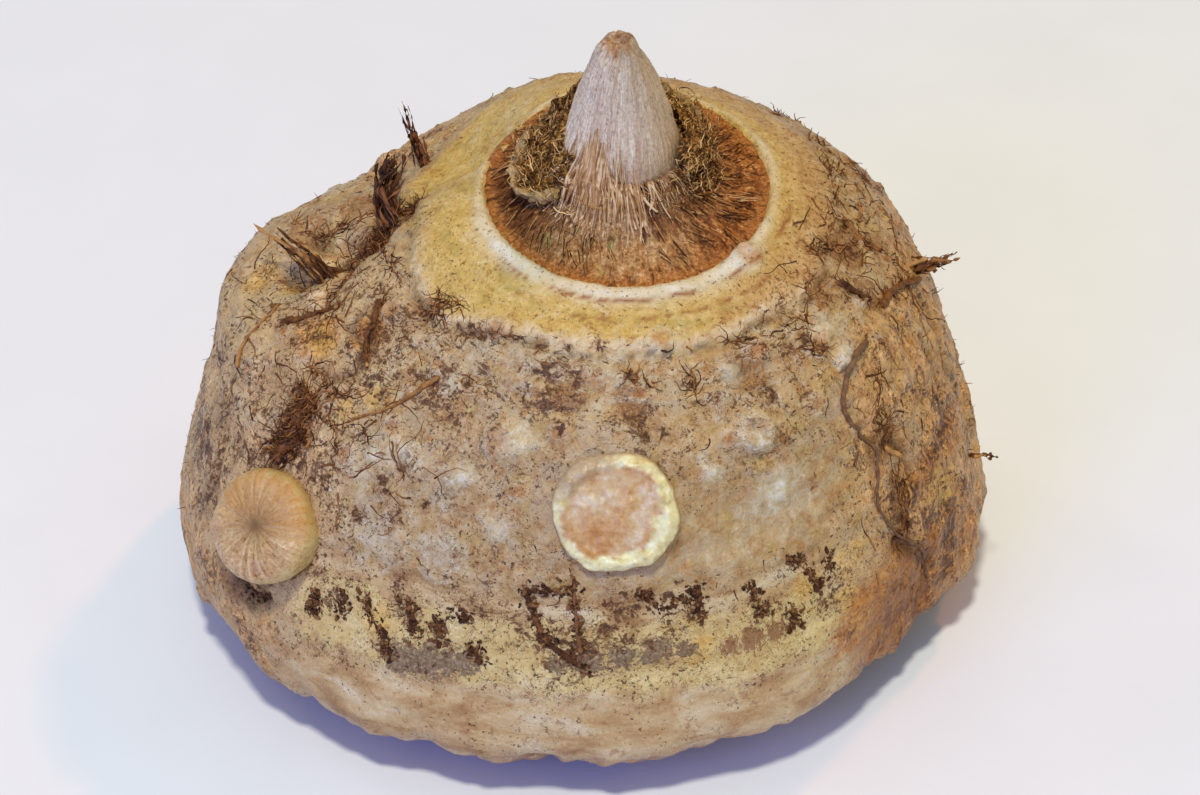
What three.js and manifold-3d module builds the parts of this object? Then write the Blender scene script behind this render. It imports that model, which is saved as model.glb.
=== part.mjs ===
// A voodoo lily tuber: a squat dome that rests on a flat patch of its underside. Its crown carries
// the pointed bud of the next leaf, standing in the round fibrous scar of the last one, with torn
// remains of the old leaf sheath round its foot. One round offset bud grows on the left, one has
// snapped off in front and left a scar, and dried roots lie on the skin and stand out from it.
// Millimetres, +Z up. The front of the tuber faces -Y and its right side +X.

import * as THREE from "three";
import { mergeVertices } from "three/addons/utils/BufferGeometryUtils.js";
import Module from "manifold-3d";

const wasm = await Module();
wasm.setup();

// Driving dimensions of the tuber.
const HALF_WIDTH = 45.3; // from the middle to either side, at the widest
const HALF_DEPTH = 41; // from the middle to the front or back, at the widest
const WAIST_HEIGHT = 11; // the widest part, above the surface it rests on
const CROWN_HEIGHT = 56.4; // the rim round the leaf scar
const CROWN_RIGHT = 4.6; // the crown stands to the right of the middle
const CROWN_FORWARD = 2.6; // and to the front of it
const CROWN_LEAN = THREE.MathUtils.degToRad(8.5); // and leans to the front
const SCAR_RADIUS = 14.2; // the scar of the old leaf stalk
const SEAT_RADIUS = 7; // the flat seat of the bud, in the middle of the scar
const SEAT_RISE = 3.2; // above the rim of the scar
const BASE_RADIUS = 15; // the flat patch it rests on
const BUD_LEAN = 0.0036; // how fast the bud curves to the left, per millimetre
const GAP = 0.3; // between pieces that touch

// How finely each solid is faceted.
const BODY_SIDES = 96;
const BODY_ROWS = 30;
const BUD_SIDES = 28;
const SHEATH_SIDES = 48;
const ROOT_SIDES = 6;
const ROOT_STEP = 3.5; // the length of a root's facets, in radii

const FAR = 200; // well outside the tuber

// Angles round the tuber are in degrees, from the right side (+X) towards the back (+Y).

const rad = THREE.MathUtils.degToRad;
const smoothstep = THREE.MathUtils.smoothstep;

// ---------------------------------------------------------------- helpers

// A three.js geometry as a manifold-3d solid.
function toSolid(geometry) {
  const bare = geometry.index ? geometry.toNonIndexed() : geometry.clone();
  bare.deleteAttribute("normal");
  bare.deleteAttribute("uv");
  const merged = mergeVertices(bare, 1e-4);
  return new wasm.Manifold(
    new wasm.Mesh({
      numProp: 3,
      vertProperties: merged.attributes.position.array,
      triVerts: new Uint32Array(merged.index.array),
    }),
  );
}

// A manifold-3d solid as a three.js geometry.
function toGeometry(solid) {
  const { vertProperties, triVerts } = solid.getMesh();
  const geometry = new THREE.BufferGeometry();
  geometry.setAttribute("position", new THREE.BufferAttribute(vertProperties, 3));
  geometry.setIndex(new THREE.BufferAttribute(triVerts, 1));
  geometry.computeVertexNormals();
  return geometry;
}

// Moves every vertex of a geometry with a function that changes a point in place.
function reshape(geometry, move) {
  const position = geometry.attributes.position;
  const point = new THREE.Vector3();
  for (let i = 0; i < position.count; i++) {
    point.fromBufferAttribute(position, i);
    move(point);
    position.setXYZ(i, point.x, point.y, point.z);
  }
  geometry.computeVertexNormals();
  return geometry;
}

// A solid of revolution about +Z, from a profile of [radius, height] pairs.
function revolve(profile, sides) {
  const points = profile.map(([radius, height]) => new THREE.Vector2(radius, height));
  return new THREE.LatheGeometry(points, sides).rotateX(Math.PI / 2);
}

// How far apart two angles in degrees are, the short way round.
function angleBetween(a, b) {
  const difference = (((a - b) % 360) + 540) % 360 - 180;
  return Math.abs(difference);
}

// A bell that is 1 at a place on the flank and fades away over its width and height.
function bell(angle, height, at) {
  const across = angleBetween(angle, at.angle) / at.spread;
  const along = (height - at.height) / at.rise;
  return Math.exp(-across * across - along * along);
}

// ---------------------------------------------------------------- tuber body

// Half of the outline, from the flat base up over the flank to the seat of the bud.
function bodyProfile() {
  const crown = CROWN_HEIGHT;
  const flank = [
    [BASE_RADIUS, 0],
    [28, 0.9],
    [38, 3.6],
    [43.6, 7.2],
    [HALF_WIDTH, WAIST_HEIGHT],
    [44.4, 17.5],
    [42.7, 25.5],
    [39.9, 33.5],
    [36.6, 39.6],
    [32.6, 45],
    [28.4, 49.2],
    [23.8, 52.7],
    [19.4, 55.1],
    [SCAR_RADIUS + 1.6, crown],
    [SCAR_RADIUS, crown - 0.8],
  ].map(([radius, height]) => new THREE.Vector2(radius, height));
  const curve = new THREE.SplineCurve(flank);
  const steps = Array.from({ length: BODY_ROWS + 1 }, (_, i) => curve.getPoint(i / BODY_ROWS));
  return [
    [0, 0],
    [BASE_RADIUS / 2, 0],
    ...steps.map((p) => [p.x, Math.max(p.y, 0)]),
    [SCAR_RADIUS - 2, crown - 0.7],
    [SEAT_RADIUS + 2.8, crown + 0.5],
    [SEAT_RADIUS + 0.6, crown + SEAT_RISE - 0.5],
    [SEAT_RADIUS, crown + SEAT_RISE],
    [SEAT_RADIUS / 2, crown + SEAT_RISE],
    [0, crown + SEAT_RISE],
  ];
}

// Swellings and hollows of the flank: each pushes the skin out (or in) by so many millimetres.
const FLANK_FORMS = [
  { angle: 176, height: 40, spread: 30, rise: 7, push: 3.1 }, // shoulder on the left
  { angle: 150, height: 50, spread: 25, rise: 6.5, push: -8.6 }, // hollow between it and the crown
  { angle: 186, height: 46, spread: 9, rise: 3.4, push: -2.6 }, // pit in the shoulder
  { angle: 70, height: 53, spread: 60, rise: 6, push: -2.2 }, // back of the crown falls away sooner
  { angle: 15, height: 39, spread: 30, rise: 7, push: 1.2 }, // full upper flank on the right
  { angle: 275, height: 37, spread: 15, rise: 8, push: 1.3 }, // mound of the snapped offset
  { angle: 302, height: 42, spread: 7, rise: 4, push: 0.7 }, // small swelling beside it
  { angle: 215, height: 25, spread: 15, rise: 8, push: 0.7 }, // round the foot of the offset bud
  { angle: 182, height: 42, spread: 22, rise: 3.5, push: 1.5 }, // ledge on the shoulder
  { angle: 188, height: 34.5, spread: 14, rise: 3, push: -1 }, // groove under the ledge
  { angle: 180, height: 18, spread: 30, rise: 10, push: 0.8 }, // full left side
  { angle: 334, height: 6, spread: 20, rise: 9, push: 1.6 }, // full lower edge, right of the front
  { angle: 301, height: 3.5, spread: 12, rise: 4, push: -1.8 }, // pinched in between that
  { angle: 270, height: 3, spread: 10, rise: 5, push: 0.6 }, // and the front
  { angle: 215, height: 5, spread: 26, rise: 8, push: 0.7 }, // and left of the front
];

// The wavy folds that run over the lower edge towards the base.
function lowerFolds(angle, height) {
  const strength = smoothstep(height, 0.2, 3) * (1 - smoothstep(height, 6, 13));
  const wave = Math.sin(rad(angle) * 17 + 1.3 * Math.sin(rad(angle) * 3));
  return 0.7 * strength * wave;
}

function shapeBody(point) {
  const angle = THREE.MathUtils.radToDeg(Math.atan2(point.y, point.x));
  const height = point.z;
  const onFlank = smoothstep(height, 0, 2) * (1 - smoothstep(height, 52, 56));
  const broad = 0.4 * Math.sin(5 * rad(angle) - 1 + height / 9);
  let push = lowerFolds(angle, height) + onFlank * broad;
  for (const form of FLANK_FORMS) push += form.push * bell(angle, height, form);
  const radius = Math.hypot(point.x, point.y);
  if (radius > SCAR_RADIUS + 2 && height > 0) {
    point.x *= (radius + push) / radius;
    point.y *= (radius + push) / radius;
  }
  const crownShare = smoothstep(height, WAIST_HEIGHT + 22, CROWN_HEIGHT - 3);
  point.y *= THREE.MathUtils.lerp(HALF_DEPTH / HALF_WIDTH, 1, crownShare);
  point.z += Math.tan(CROWN_LEAN) * point.y * crownShare;
  point.x += CROWN_RIGHT * crownShare;
  point.y -= CROWN_FORWARD * crownShare;
}

// ---------------------------------------------------------------- places on the skin

const bodyShape = reshape(revolve(bodyProfile(), BODY_SIDES), shapeBody);
bodyShape.computeBoundingBox();

// The heart is a point inside the tuber. Every place on the skin is given as seen from it:
// the angle round the tuber, and the elevation above the level of the heart, both in degrees.
const HEART_HEIGHT = 20;
const heart = bodyShape.boundingBox.getCenter(new THREE.Vector3()).setZ(HEART_HEIGHT);
const skin = new THREE.Mesh(bodyShape);
const UP = new THREE.Vector3(0, 0, 1);

// The way that an angle and an elevation point.
function direction(angle, elevation) {
  const level = Math.cos(rad(elevation));
  return new THREE.Vector3(
    level * Math.cos(rad(angle)),
    level * Math.sin(rad(angle)),
    Math.sin(rad(elevation)),
  );
}

// The point on the skin in that direction from the heart, and the way the skin faces there.
function onSkin(angle, elevation) {
  const outward = direction(angle, elevation);
  const outside = heart.clone().addScaledVector(outward, FAR);
  const ray = new THREE.Raycaster(outside, outward.clone().negate());
  const hit = ray.intersectObject(skin)[0];
  return { point: hit.point, normal: hit.face.normal.clone() };
}

// ---------------------------------------------------------------- crown

// The crown's own frame: its origin is the middle of the bud's seat, its +Z the way the bud grows.
function makeCrown() {
  const crown = new THREE.Group();
  crown.position.set(CROWN_RIGHT, -CROWN_FORWARD, CROWN_HEIGHT + SEAT_RISE);
  crown.rotation.x = CROWN_LEAN;
  return crown;
}

// The pointed bud, blunt and slightly open at its tip, which leans to the left.
function crownBud() {
  const profile = [
    [0, GAP],
    [6.3, GAP],
    [6.45, 1.2],
    [6.1, 3.4],
    [5.3, 6.4],
    [4.5, 9.4],
    [3.6, 12],
    [2.75, 14.2],
    [2, 16],
    [1.5, 17],
    [0.95, 17.5],
    [0.45, 17.2],
    [0, 17],
  ];
  return reshape(revolve(profile, BUD_SIDES), (point) => {
    point.x -= BUD_LEAN * Math.max(point.z - GAP, 0) ** 2;
  });
}

// A length of the torn leaf sheath that stands round the foot of the bud: the part of a revolved
// wall between two angles.
function sheathRemnant(wall, fromAngle, toAngle) {
  const wedge = new THREE.Shape().moveTo(0, 0);
  const steps = 8;
  for (let i = 0; i <= steps; i++) {
    const angle = rad(THREE.MathUtils.lerp(fromAngle, toAngle, i / steps));
    wedge.lineTo(FAR * Math.cos(angle), FAR * Math.sin(angle));
  }
  const block = new THREE.ExtrudeGeometry(wedge, { depth: 2 * FAR, bevelEnabled: false });
  block.translate(0, 0, -FAR);
  const ring = revolve([...wall, wall[0]], SHEATH_SIDES);
  return toGeometry(toSolid(ring).intersect(toSolid(block)));
}

// Walls of the remnants, as closed outlines of [radius, height] in the crown's frame.
const CURLED_WALL = [
  [7.6, -0.1],
  [8.8, -1.3],
  [10.6, -2.6],
  [12, -2.6],
  [12.6, -1.2],
  [12.1, 0.1],
  [11.4, -1],
  [10.2, -1.4],
  [8.8, 0.5],
  [7.8, 3.2],
  [7.1, 3],
  [7.1, 0.6],
];
const UPRIGHT_WALL = [
  [7.6, -0.1],
  [8.8, -1.3],
  [9.8, -2.2],
  [10.3, -1.2],
  [9.3, 1.2],
  [8.3, 3.8],
  [7.4, 6.2],
  [6.7, 6.2],
  [7.1, 3.6],
  [7.1, 0.6],
];
const FLAT_WALL = [
  [7.6, -0.1],
  [8.8, -1.3],
  [10.4, -2.6],
  [11.9, -3.4],
  [11.9, -2.8],
  [10.4, -1.9],
  [8.8, -0.4],
  [7.6, 1.5],
  [6.9, 2.4],
  [6.9, 0.6],
];

// ---------------------------------------------------------------- offset bud

const OFFSET_PLACE = [217, 10]; // angle and elevation of the middle of its foot
const OFFSET_AXIS = [236, 35]; // the way it grows, as an angle and an elevation
const OFFSET_RADIUS = 5.8;
const OFFSET_DEPTH = 3; // how far it is sunk in the tuber
const OFFSET_HEIGHT = 4.2; // how far it stands out

// The round bud of an offset, along +Z, with its foot sunk below the skin at height 0.
function offsetBud() {
  const profile = [
    [0, -OFFSET_DEPTH],
    [OFFSET_RADIUS - 1.2, -OFFSET_DEPTH],
    [OFFSET_RADIUS - 0.4, 0],
    [OFFSET_RADIUS, 1.5],
    [OFFSET_RADIUS - 0.2, 2.8],
    [OFFSET_RADIUS - 0.9, 3.7],
    [OFFSET_RADIUS - 2.2, OFFSET_HEIGHT],
    [0.9, OFFSET_HEIGHT + 0.2],
    [0, OFFSET_HEIGHT],
  ];
  return revolve(profile, BUD_SIDES);
}

// The hollow it sits in, a gap wider than the bud all round.
function offsetSocket() {
  const profile = [
    [0, -OFFSET_DEPTH - GAP],
    [OFFSET_RADIUS - 1.2 + GAP, -OFFSET_DEPTH - GAP],
    [OFFSET_RADIUS + GAP, 0],
    [OFFSET_RADIUS + GAP, OFFSET_HEIGHT],
    [0, OFFSET_HEIGHT],
  ];
  return revolve(profile, BUD_SIDES);
}

// Puts a geometry built along +Z at the offset's place on the skin, along the offset's axis.
function placeOffset(geometry) {
  const { point } = onSkin(...OFFSET_PLACE);
  const turn = new THREE.Quaternion().setFromUnitVectors(UP, direction(...OFFSET_AXIS));
  return geometry.applyQuaternion(turn).translate(point.x, point.y, point.z);
}

// ---------------------------------------------------------------- roots

// A dried root along a curve, which tapers from its thick end to its thin one. The two girths
// are radii.
function rootAlong(points, thick, thin) {
  const path = new THREE.CatmullRomCurve3(points);
  const steps = Math.max(4, Math.round(path.getLength() / (ROOT_STEP * thick)));
  const section = new THREE.Shape();
  for (let i = 0; i < ROOT_SIDES; i++) {
    const turn = (i / ROOT_SIDES) * 2 * Math.PI;
    section[i ? "lineTo" : "moveTo"](thick * Math.cos(turn), thick * Math.sin(turn));
  }
  section.closePath();
  const tube = new THREE.ExtrudeGeometry(section, { steps, extrudePath: path });
  const centres = path.getSpacedPoints(steps);
  return reshape(tube, (point) => {
    let nearest = 0;
    centres.forEach((centre, i) => {
      if (centre.distanceTo(point) < centres[nearest].distanceTo(point)) nearest = i;
    });
    const girth = THREE.MathUtils.lerp(1, thin / thick, nearest / steps);
    point.sub(centres[nearest]).multiplyScalar(girth).add(centres[nearest]);
  });
}

// A root that lies on the skin, through places given as [angle, elevation]. It keeps a gap, with
// a little more for the flats of the facets.
function lyingRoot({ route, thick, thin }) {
  const guide = new THREE.CatmullRomCurve3(route.map(([a, e]) => new THREE.Vector3(a, e, 0)));
  const samples = route.length * 3;
  const lift = GAP + 0.1;
  const points = guide.getPoints(samples).map(({ x, y }, i) => {
    const { point, normal } = onSkin(x, y);
    const radius = THREE.MathUtils.lerp(thick, thin, i / samples);
    return point.addScaledVector(normal, radius + lift);
  });
  return rootAlong(points, thick, thin);
}

// A root that stands out from the skin: its foot is a place on the skin, and its bends are
// offsets from there in millimetres.
function standingRoot({ foot, bends, thick, thin }) {
  const { point, normal } = onSkin(...foot);
  const start = point.clone().addScaledVector(normal, GAP + thick);
  const points = [start, ...bends.map((b) => point.clone().add(new THREE.Vector3(...b)))];
  return rootAlong(points, thick, thin);
}

const LYING_ROOTS = {
  root_right_long: {
    route: [
      [330, 37], [325, 36], [321, 33], [320, 30], [324, 23], [326, 19],
      [323.5, 15.5], [323, 12], [325, 8], [329, 3], [333, -2], [335, -8],
    ],
    thick: 0.55,
    thin: 0.3,
  },
  root_right_branch: {
    route: [[329, 22], [330, 17], [329.5, 12], [329, 8]],
    thick: 0.4,
    thin: 0.25,
  },
  root_right_upper: {
    route: [[338, 38.5], [343, 38.5], [349, 36.5], [355, 32]],
    thick: 0.5,
    thin: 0.4,
  },
  root_right_short: { route: [[333, 46], [335, 43.5], [337, 42]], thick: 0.4, thin: 0.3 },
  root_right_rim: { route: [[352, 52], [351, 48], [350, 43]], thick: 0.45, thin: 0.3 },
  root_left_curl: {
    route: [[195, 32], [197, 28], [202, 26.5], [206, 25.5], [208, 22]],
    thick: 0.4,
    thin: 0.25,
  },
  root_left_clump: { route: [[216, 30], [214.5, 25], [212, 19.5]], thick: 0.95, thin: 0.6 },
  root_left_crevice: { route: [[189, 34], [193, 38], [196, 41.5]], thick: 0.5, thin: 0.4 },
  root_left_upper: { route: [[208, 47.5], [210, 43.5], [210, 39.5]], thick: 0.55, thin: 0.35 },
  root_front_left: {
    route: [[234, 47], [235, 42], [234, 37], [229.5, 33.5]],
    thick: 0.4,
    thin: 0.25,
  },
  root_front_decayed_1: { route: [[262, 14], [265, 8], [269, 4]], thick: 0.7, thin: 0.5 },
  root_front_decayed_2: { route: [[272, 13], [271.5, 8.5], [275, 3]], thick: 0.6, thin: 0.4 },
  root_back_long: {
    route: [[62, 40], [66, 33], [61, 26], [64, 18], [60, 10]],
    thick: 0.5,
    thin: 0.3,
  },
  root_back_short: { route: [[104, 34], [110, 31], [113, 25], [119, 22]], thick: 0.5, thin: 0.3 },
};

const STANDING_ROOTS = {
  root_right_stub: {
    foot: [358, 34],
    bends: [[1.8, -0.8, 0.9], [3, -1.2, 1.3], [4.8, -1.6, 2.4]],
    thick: 0.6,
    thin: 0.35,
  },
  root_right_edge: {
    foot: [353, 1.5],
    bends: [[1.3, -0.3, 0.5], [2.2, -0.4, 0.1], [3, -0.6, 0.4]],
    thick: 0.5,
    thin: 0.25,
  },
  root_left_spike: {
    foot: [193, 44],
    bends: [[-1.8, 0.7, 2], [-4.7, 2, 3.5], [-8, 3.4, 4.9]],
    thick: 0.7,
    thin: 0.25,
  },
  root_left_tuft: {
    foot: [181, 55],
    bends: [[-0.9, 1.4, 2.6], [-0.5, 2.8, 4.4], [0.1, 4.2, 6.6]],
    thick: 0.9,
    thin: 0.5,
  },
  root_back_left_tuft: {
    foot: [142, 50.5],
    bends: [[-0.7, 0.5, 2.4], [-1.2, 0.8, 4.4], [-2, 1.1, 6.8]],
    thick: 0.8,
    thin: 0.25,
  },
};

// ---------------------------------------------------------------- the whole tuber

const tones = {
  skin: 0xab8c60,
  bud: 0xb5a298,
  sheath: 0x7b5f3d,
  offset: 0xb99868,
  root: 0x6b4a2a,
};

const tuber = new THREE.Group();

function place(name, geometry, tone, parent = tuber) {
  const material = new THREE.MeshStandardMaterial({ color: tones[tone], roughness: 0.75 });
  const mesh = new THREE.Mesh(geometry, material);
  mesh.name = name;
  parent.add(mesh);
}

const socket = toSolid(placeOffset(offsetSocket()));
place("tuber_body", toGeometry(toSolid(bodyShape).subtract(socket)), "skin");
place("offset_bud", placeOffset(offsetBud()), "offset");

const crown = makeCrown();
tuber.add(crown);
place("crown_bud", crownBud(), "bud", crown);
place("sheath_remnant_left", sheathRemnant(CURLED_WALL, 118, 204), "sheath", crown);
place("sheath_remnant_right", sheathRemnant(UPRIGHT_WALL, 4, 74), "sheath", crown);
place("sheath_remnant_front", sheathRemnant(FLAT_WALL, 244, 292), "sheath", crown);

for (const [name, root] of Object.entries(LYING_ROOTS)) place(name, lyingRoot(root), "root");
for (const [name, root] of Object.entries(STANDING_ROOTS)) {
  place(name, standingRoot(root), "root");
}

// The origin is under the middle of the whole, on the surface it rests on.
const bounds = new THREE.Box3().setFromObject(tuber);
const middle = bounds.getCenter(new THREE.Vector3());
tuber.position.set(-middle.x, -middle.y, -bounds.min.z);

export default tuber;
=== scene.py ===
"""Looks of a dormant voodoo lily tuber, dressed over its solids. Blender works in metres; sizes of
the tuber's details are given in millimetres and scaled by MM. The front faces -Y, the right +X."""

import math
import random
from types import SimpleNamespace

import bmesh
import bpy
import numpy as np
from mathutils import Matrix, Vector, noise
from mathutils.bvhtree import BVHTree

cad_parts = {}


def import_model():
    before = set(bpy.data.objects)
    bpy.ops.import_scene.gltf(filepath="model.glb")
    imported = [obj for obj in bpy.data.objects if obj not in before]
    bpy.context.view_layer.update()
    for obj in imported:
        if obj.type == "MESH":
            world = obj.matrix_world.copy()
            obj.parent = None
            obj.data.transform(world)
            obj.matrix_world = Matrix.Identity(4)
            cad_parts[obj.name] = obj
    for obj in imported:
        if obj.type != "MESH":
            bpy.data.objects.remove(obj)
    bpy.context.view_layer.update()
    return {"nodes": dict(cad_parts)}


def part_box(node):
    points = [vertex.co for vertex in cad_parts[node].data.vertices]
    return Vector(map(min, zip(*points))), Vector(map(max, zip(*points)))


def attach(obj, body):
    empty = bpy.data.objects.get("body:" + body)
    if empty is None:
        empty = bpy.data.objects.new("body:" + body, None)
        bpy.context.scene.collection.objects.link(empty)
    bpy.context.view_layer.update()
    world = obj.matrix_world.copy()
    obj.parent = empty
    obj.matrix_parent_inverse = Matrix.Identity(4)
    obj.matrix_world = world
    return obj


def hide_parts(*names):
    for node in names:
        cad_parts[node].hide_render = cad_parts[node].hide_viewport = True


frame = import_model()

MM = 0.001
UP = Vector((0, 0, 1))
scene = bpy.context.scene


# ------------------------------------------------------------------ places on the tuber

def merged_copy(node):
    """A bmesh of a solid of the frame, with its loose triangles joined."""
    shape = bmesh.new()
    shape.from_mesh(frame["nodes"][node].data)
    bmesh.ops.remove_doubles(shape, verts=shape.verts, dist=1e-6)
    return shape


body_low, body_high = (Vector(corner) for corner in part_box("tuber_body"))
HEART = Vector(((body_low.x + body_high.x) / 2, (body_low.y + body_high.y) / 2, 20 * MM))

solid_body = merged_copy("tuber_body")
solid_skin = BVHTree.FromBMesh(solid_body)


def direction(angle, elevation):
    """The way that an angle round the tuber and an elevation point, both in degrees."""
    level = math.cos(math.radians(elevation))
    turn = math.radians(angle)
    return Vector((level * math.cos(turn), level * math.sin(turn), math.sin(math.radians(elevation))))


def on_skin(place, tree=solid_skin):
    """The point of the skin seen from the heart at (angle, elevation), and its normal."""
    outward = direction(*place)
    point, normal, _, _ = tree.ray_cast(HEART + outward * 0.2, -outward)
    return point, normal


def flat_foot(node, way):
    """The middle of a solid's flat foot and the way it stands, near to a way."""
    shape = merged_copy(node)
    under = [face for face in shape.faces if face.normal.dot(way) < -0.97]
    area = sum(face.calc_area() for face in under)
    middle = sum((face.calc_center_median() * face.calc_area() for face in under), Vector()) / area
    axis = -sum((face.normal * face.calc_area() for face in under), Vector()).normalized()
    shape.free()
    return middle, axis


SEAT_GAP = 0.3
bud_foot, CROWN_AXIS = flat_foot("crown_bud", UP)
CROWN = bud_foot - CROWN_AXIS * SEAT_GAP * MM
CROWN_RIGHT = Vector((1, 0, 0))
CROWN_BACK = CROWN_AXIS.cross(CROWN_RIGHT)
crown_turn = Matrix((CROWN_RIGHT, CROWN_BACK, CROWN_AXIS)).transposed()


SCAR_SHIFT = (0.25, -0.45)  # the scar lies a little off the bud, in millimetres


def in_crown(radius, degrees, height):
    """A point by its radius, angle and height in millimetres about the bud's axis."""
    turn = math.radians(degrees)
    local = Vector((radius * math.cos(turn), radius * math.sin(turn), height)) * MM
    return CROWN + crown_turn @ local


def standing(point, axis):
    """A transform that puts a shape built along +Z on a point."""
    return Matrix.Translation(point) @ UP.rotation_difference(axis).to_matrix().to_4x4()


# ------------------------------------------------------------------ numbers over many points

def smooth(low, high, x):
    """0 below low, 1 above high, and a smooth step between."""
    t = np.clip((x - low) / (high - low), 0, 1)
    return t * t * (3 - 2 * t)


def hump(x, middle, width):
    """1 at the middle, fading on both sides over a width."""
    return np.exp(-((x - middle) / width) ** 2)


def sector(angle, middle, half, soft=6):
    """1 within half of a direction, fading over soft degrees."""
    apart = np.abs((angle - middle + 180) % 360 - 180)
    return 1 - smooth(half - soft / 2, half + soft / 2, apart)


def ripple(points, per_mm, octaves=3, seed=0, stretch=(1, 1, 1)):
    """Fractal noise, about -1 to 1, at points in millimetres."""
    shift = np.array([31.7, -17.3, 9.1]) * seed
    spots = points * (np.array(stretch) * per_mm) + shift
    return np.array([noise.fractal(spot, 0.9, 2.0, octaves) for spot in spots.tolist()])


def pits(points, per_mm, seed=0):
    """Distance to the nearest of many scattered cells, 0 in their middles."""
    spots = points * per_mm + np.array([5.3, 41.1, -7.7]) * seed
    return np.array([noise.voronoi(spot)[0][0] for spot in spots.tolist()])


def vertex_array(mesh):
    """A mesh's vertices, one in each row."""
    spots = np.empty(len(mesh.vertices) * 3)
    mesh.vertices.foreach_get("co", spots)
    return spots.reshape(-1, 3)


def normal_array(mesh):
    """The normals of a mesh's vertices, one in each row."""
    ways = np.empty(len(mesh.vertices) * 3)
    mesh.vertex_normals.foreach_get("vector", ways)
    return ways.reshape(-1, 3)


def move_vertices(mesh, spots):
    """Puts a mesh's vertices on new spots."""
    mesh.vertices.foreach_set("co", np.asarray(spots, dtype=float).ravel())
    mesh.update()


def store(mesh, name, values):
    """Keeps one number per vertex, for a material to read."""
    attribute = mesh.attributes.new(name, "FLOAT", "POINT")
    attribute.data.foreach_set("value", np.asarray(values, dtype=np.float32))


def store_vectors(mesh, name, vectors):
    """Keeps three numbers per vertex, for a material to read."""
    attribute = mesh.attributes.new(name, "FLOAT_VECTOR", "POINT")
    attribute.data.foreach_set("vector", np.asarray(vectors, dtype=np.float32).ravel())


def swell(mesh, points, push):
    """Moves a mesh's points, in millimetres, along its normals."""
    move_vertices(mesh, (points + normal_array(mesh) * push[:, None]) * MM)


def round_z(points):
    """Each point's distance from the Z axis, and its turn about it in radians."""
    return np.hypot(points[:, 0], points[:, 1]), np.arctan2(points[:, 1], points[:, 0])


def crown_coordinates(spots):
    """Radius, angle in degrees and height about the bud's axis, in millimetres."""
    local = (spots - np.array(CROWN)) / MM @ np.array(crown_turn)
    rho, turn = round_z(local)
    return rho, np.degrees(turn) % 360, local[:, 2]


def surface_of(mesh):
    """A tree of a mesh's faces, which finds the place on them nearest to a point."""
    corners = [vertex.co.copy() for vertex in mesh.vertices]
    return BVHTree.FromPolygons(corners, [tuple(face.vertices) for face in mesh.polygons])


# ------------------------------------------------------------------ pieces

def as_piece(name, mesh, material, slot, *replaced):
    """Makes a mesh a piece of the tuber."""
    piece = bpy.data.objects.new(name, mesh)
    scene.collection.objects.link(piece)
    mesh.materials.clear()
    mesh.materials.append(material)
    mesh.shade_smooth()
    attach(piece, "root")
    if replaced:
        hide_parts(*replaced)
    return piece


def finished_mesh(shape, name):
    """A bmesh turned into a mesh, joined and facing out."""
    bmesh.ops.remove_doubles(shape, verts=shape.verts, dist=2e-6)
    bmesh.ops.recalc_face_normals(shape, faces=shape.faces)
    mesh = bpy.data.meshes.new(name)
    shape.to_mesh(mesh)
    shape.free()
    return mesh


def evaluated_mesh(mesh, *modifiers):
    """A mesh with modifiers applied; each is (kind, settings)."""
    carrier = bpy.data.objects.new("carrier", mesh)
    scene.collection.objects.link(carrier)
    for kind, settings in modifiers:
        modifier = carrier.modifiers.new(kind.lower(), kind)
        for key, value in settings.items():
            setattr(modifier, key, value)
    graph = bpy.context.evaluated_depsgraph_get()
    result = bpy.data.meshes.new_from_object(carrier.evaluated_get(graph))
    bpy.data.objects.remove(carrier)
    return result


def turned(profile, sides):
    """A bmesh of revolution about +Z from (radius, height) pairs in millimetres."""
    shape = bmesh.new()
    ring = [shape.verts.new((radius * MM, 0, height * MM)) for radius, height in profile]
    edges = [shape.edges.new(pair) for pair in zip(ring, ring[1:])]
    bmesh.ops.spin(
        shape, geom=ring + edges, cent=(0, 0, 0), axis=(0, 0, 1), angle=math.tau,
        steps=sides, use_merge=True,
    )
    bmesh.ops.remove_doubles(shape, verts=shape.verts, dist=2e-6)
    return shape


def curve_point(before, start, end, after, t):
    """A point of the smooth curve from start to end, t of the way along."""
    return 0.5 * (
        2 * start + (end - before) * t
        + (2 * before - 5 * start + 4 * end - after) * t * t
        + (3 * start - before - 3 * end + after) * t ** 3
    )


def fine_profile(corners, spacing):
    """A smooth curve through (radius, height) corners, with points a spacing apart."""
    knots = [Vector((radius, height)) for radius, height in corners]
    line = [knots[0]]
    for i in range(len(knots) - 1):
        before, start = knots[max(i - 1, 0)], knots[i]
        end, after = knots[i + 1], knots[min(i + 2, len(knots) - 1)]
        pieces = max(1, round((end - start).length / spacing))
        line += [curve_point(before, start, end, after, step / pieces) for step in range(1, pieces + 1)]
    return [(max(point.x, 0), point.y) for point in line]


def round_piece(name, corners, spacing, sides):
    """A mesh turned from a profile, its points in millimetres, their radii and their turns."""
    mesh = finished_mesh(turned(fine_profile(corners, spacing), sides), name)
    points = vertex_array(mesh) / MM
    return mesh, points, *round_z(points)


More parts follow.
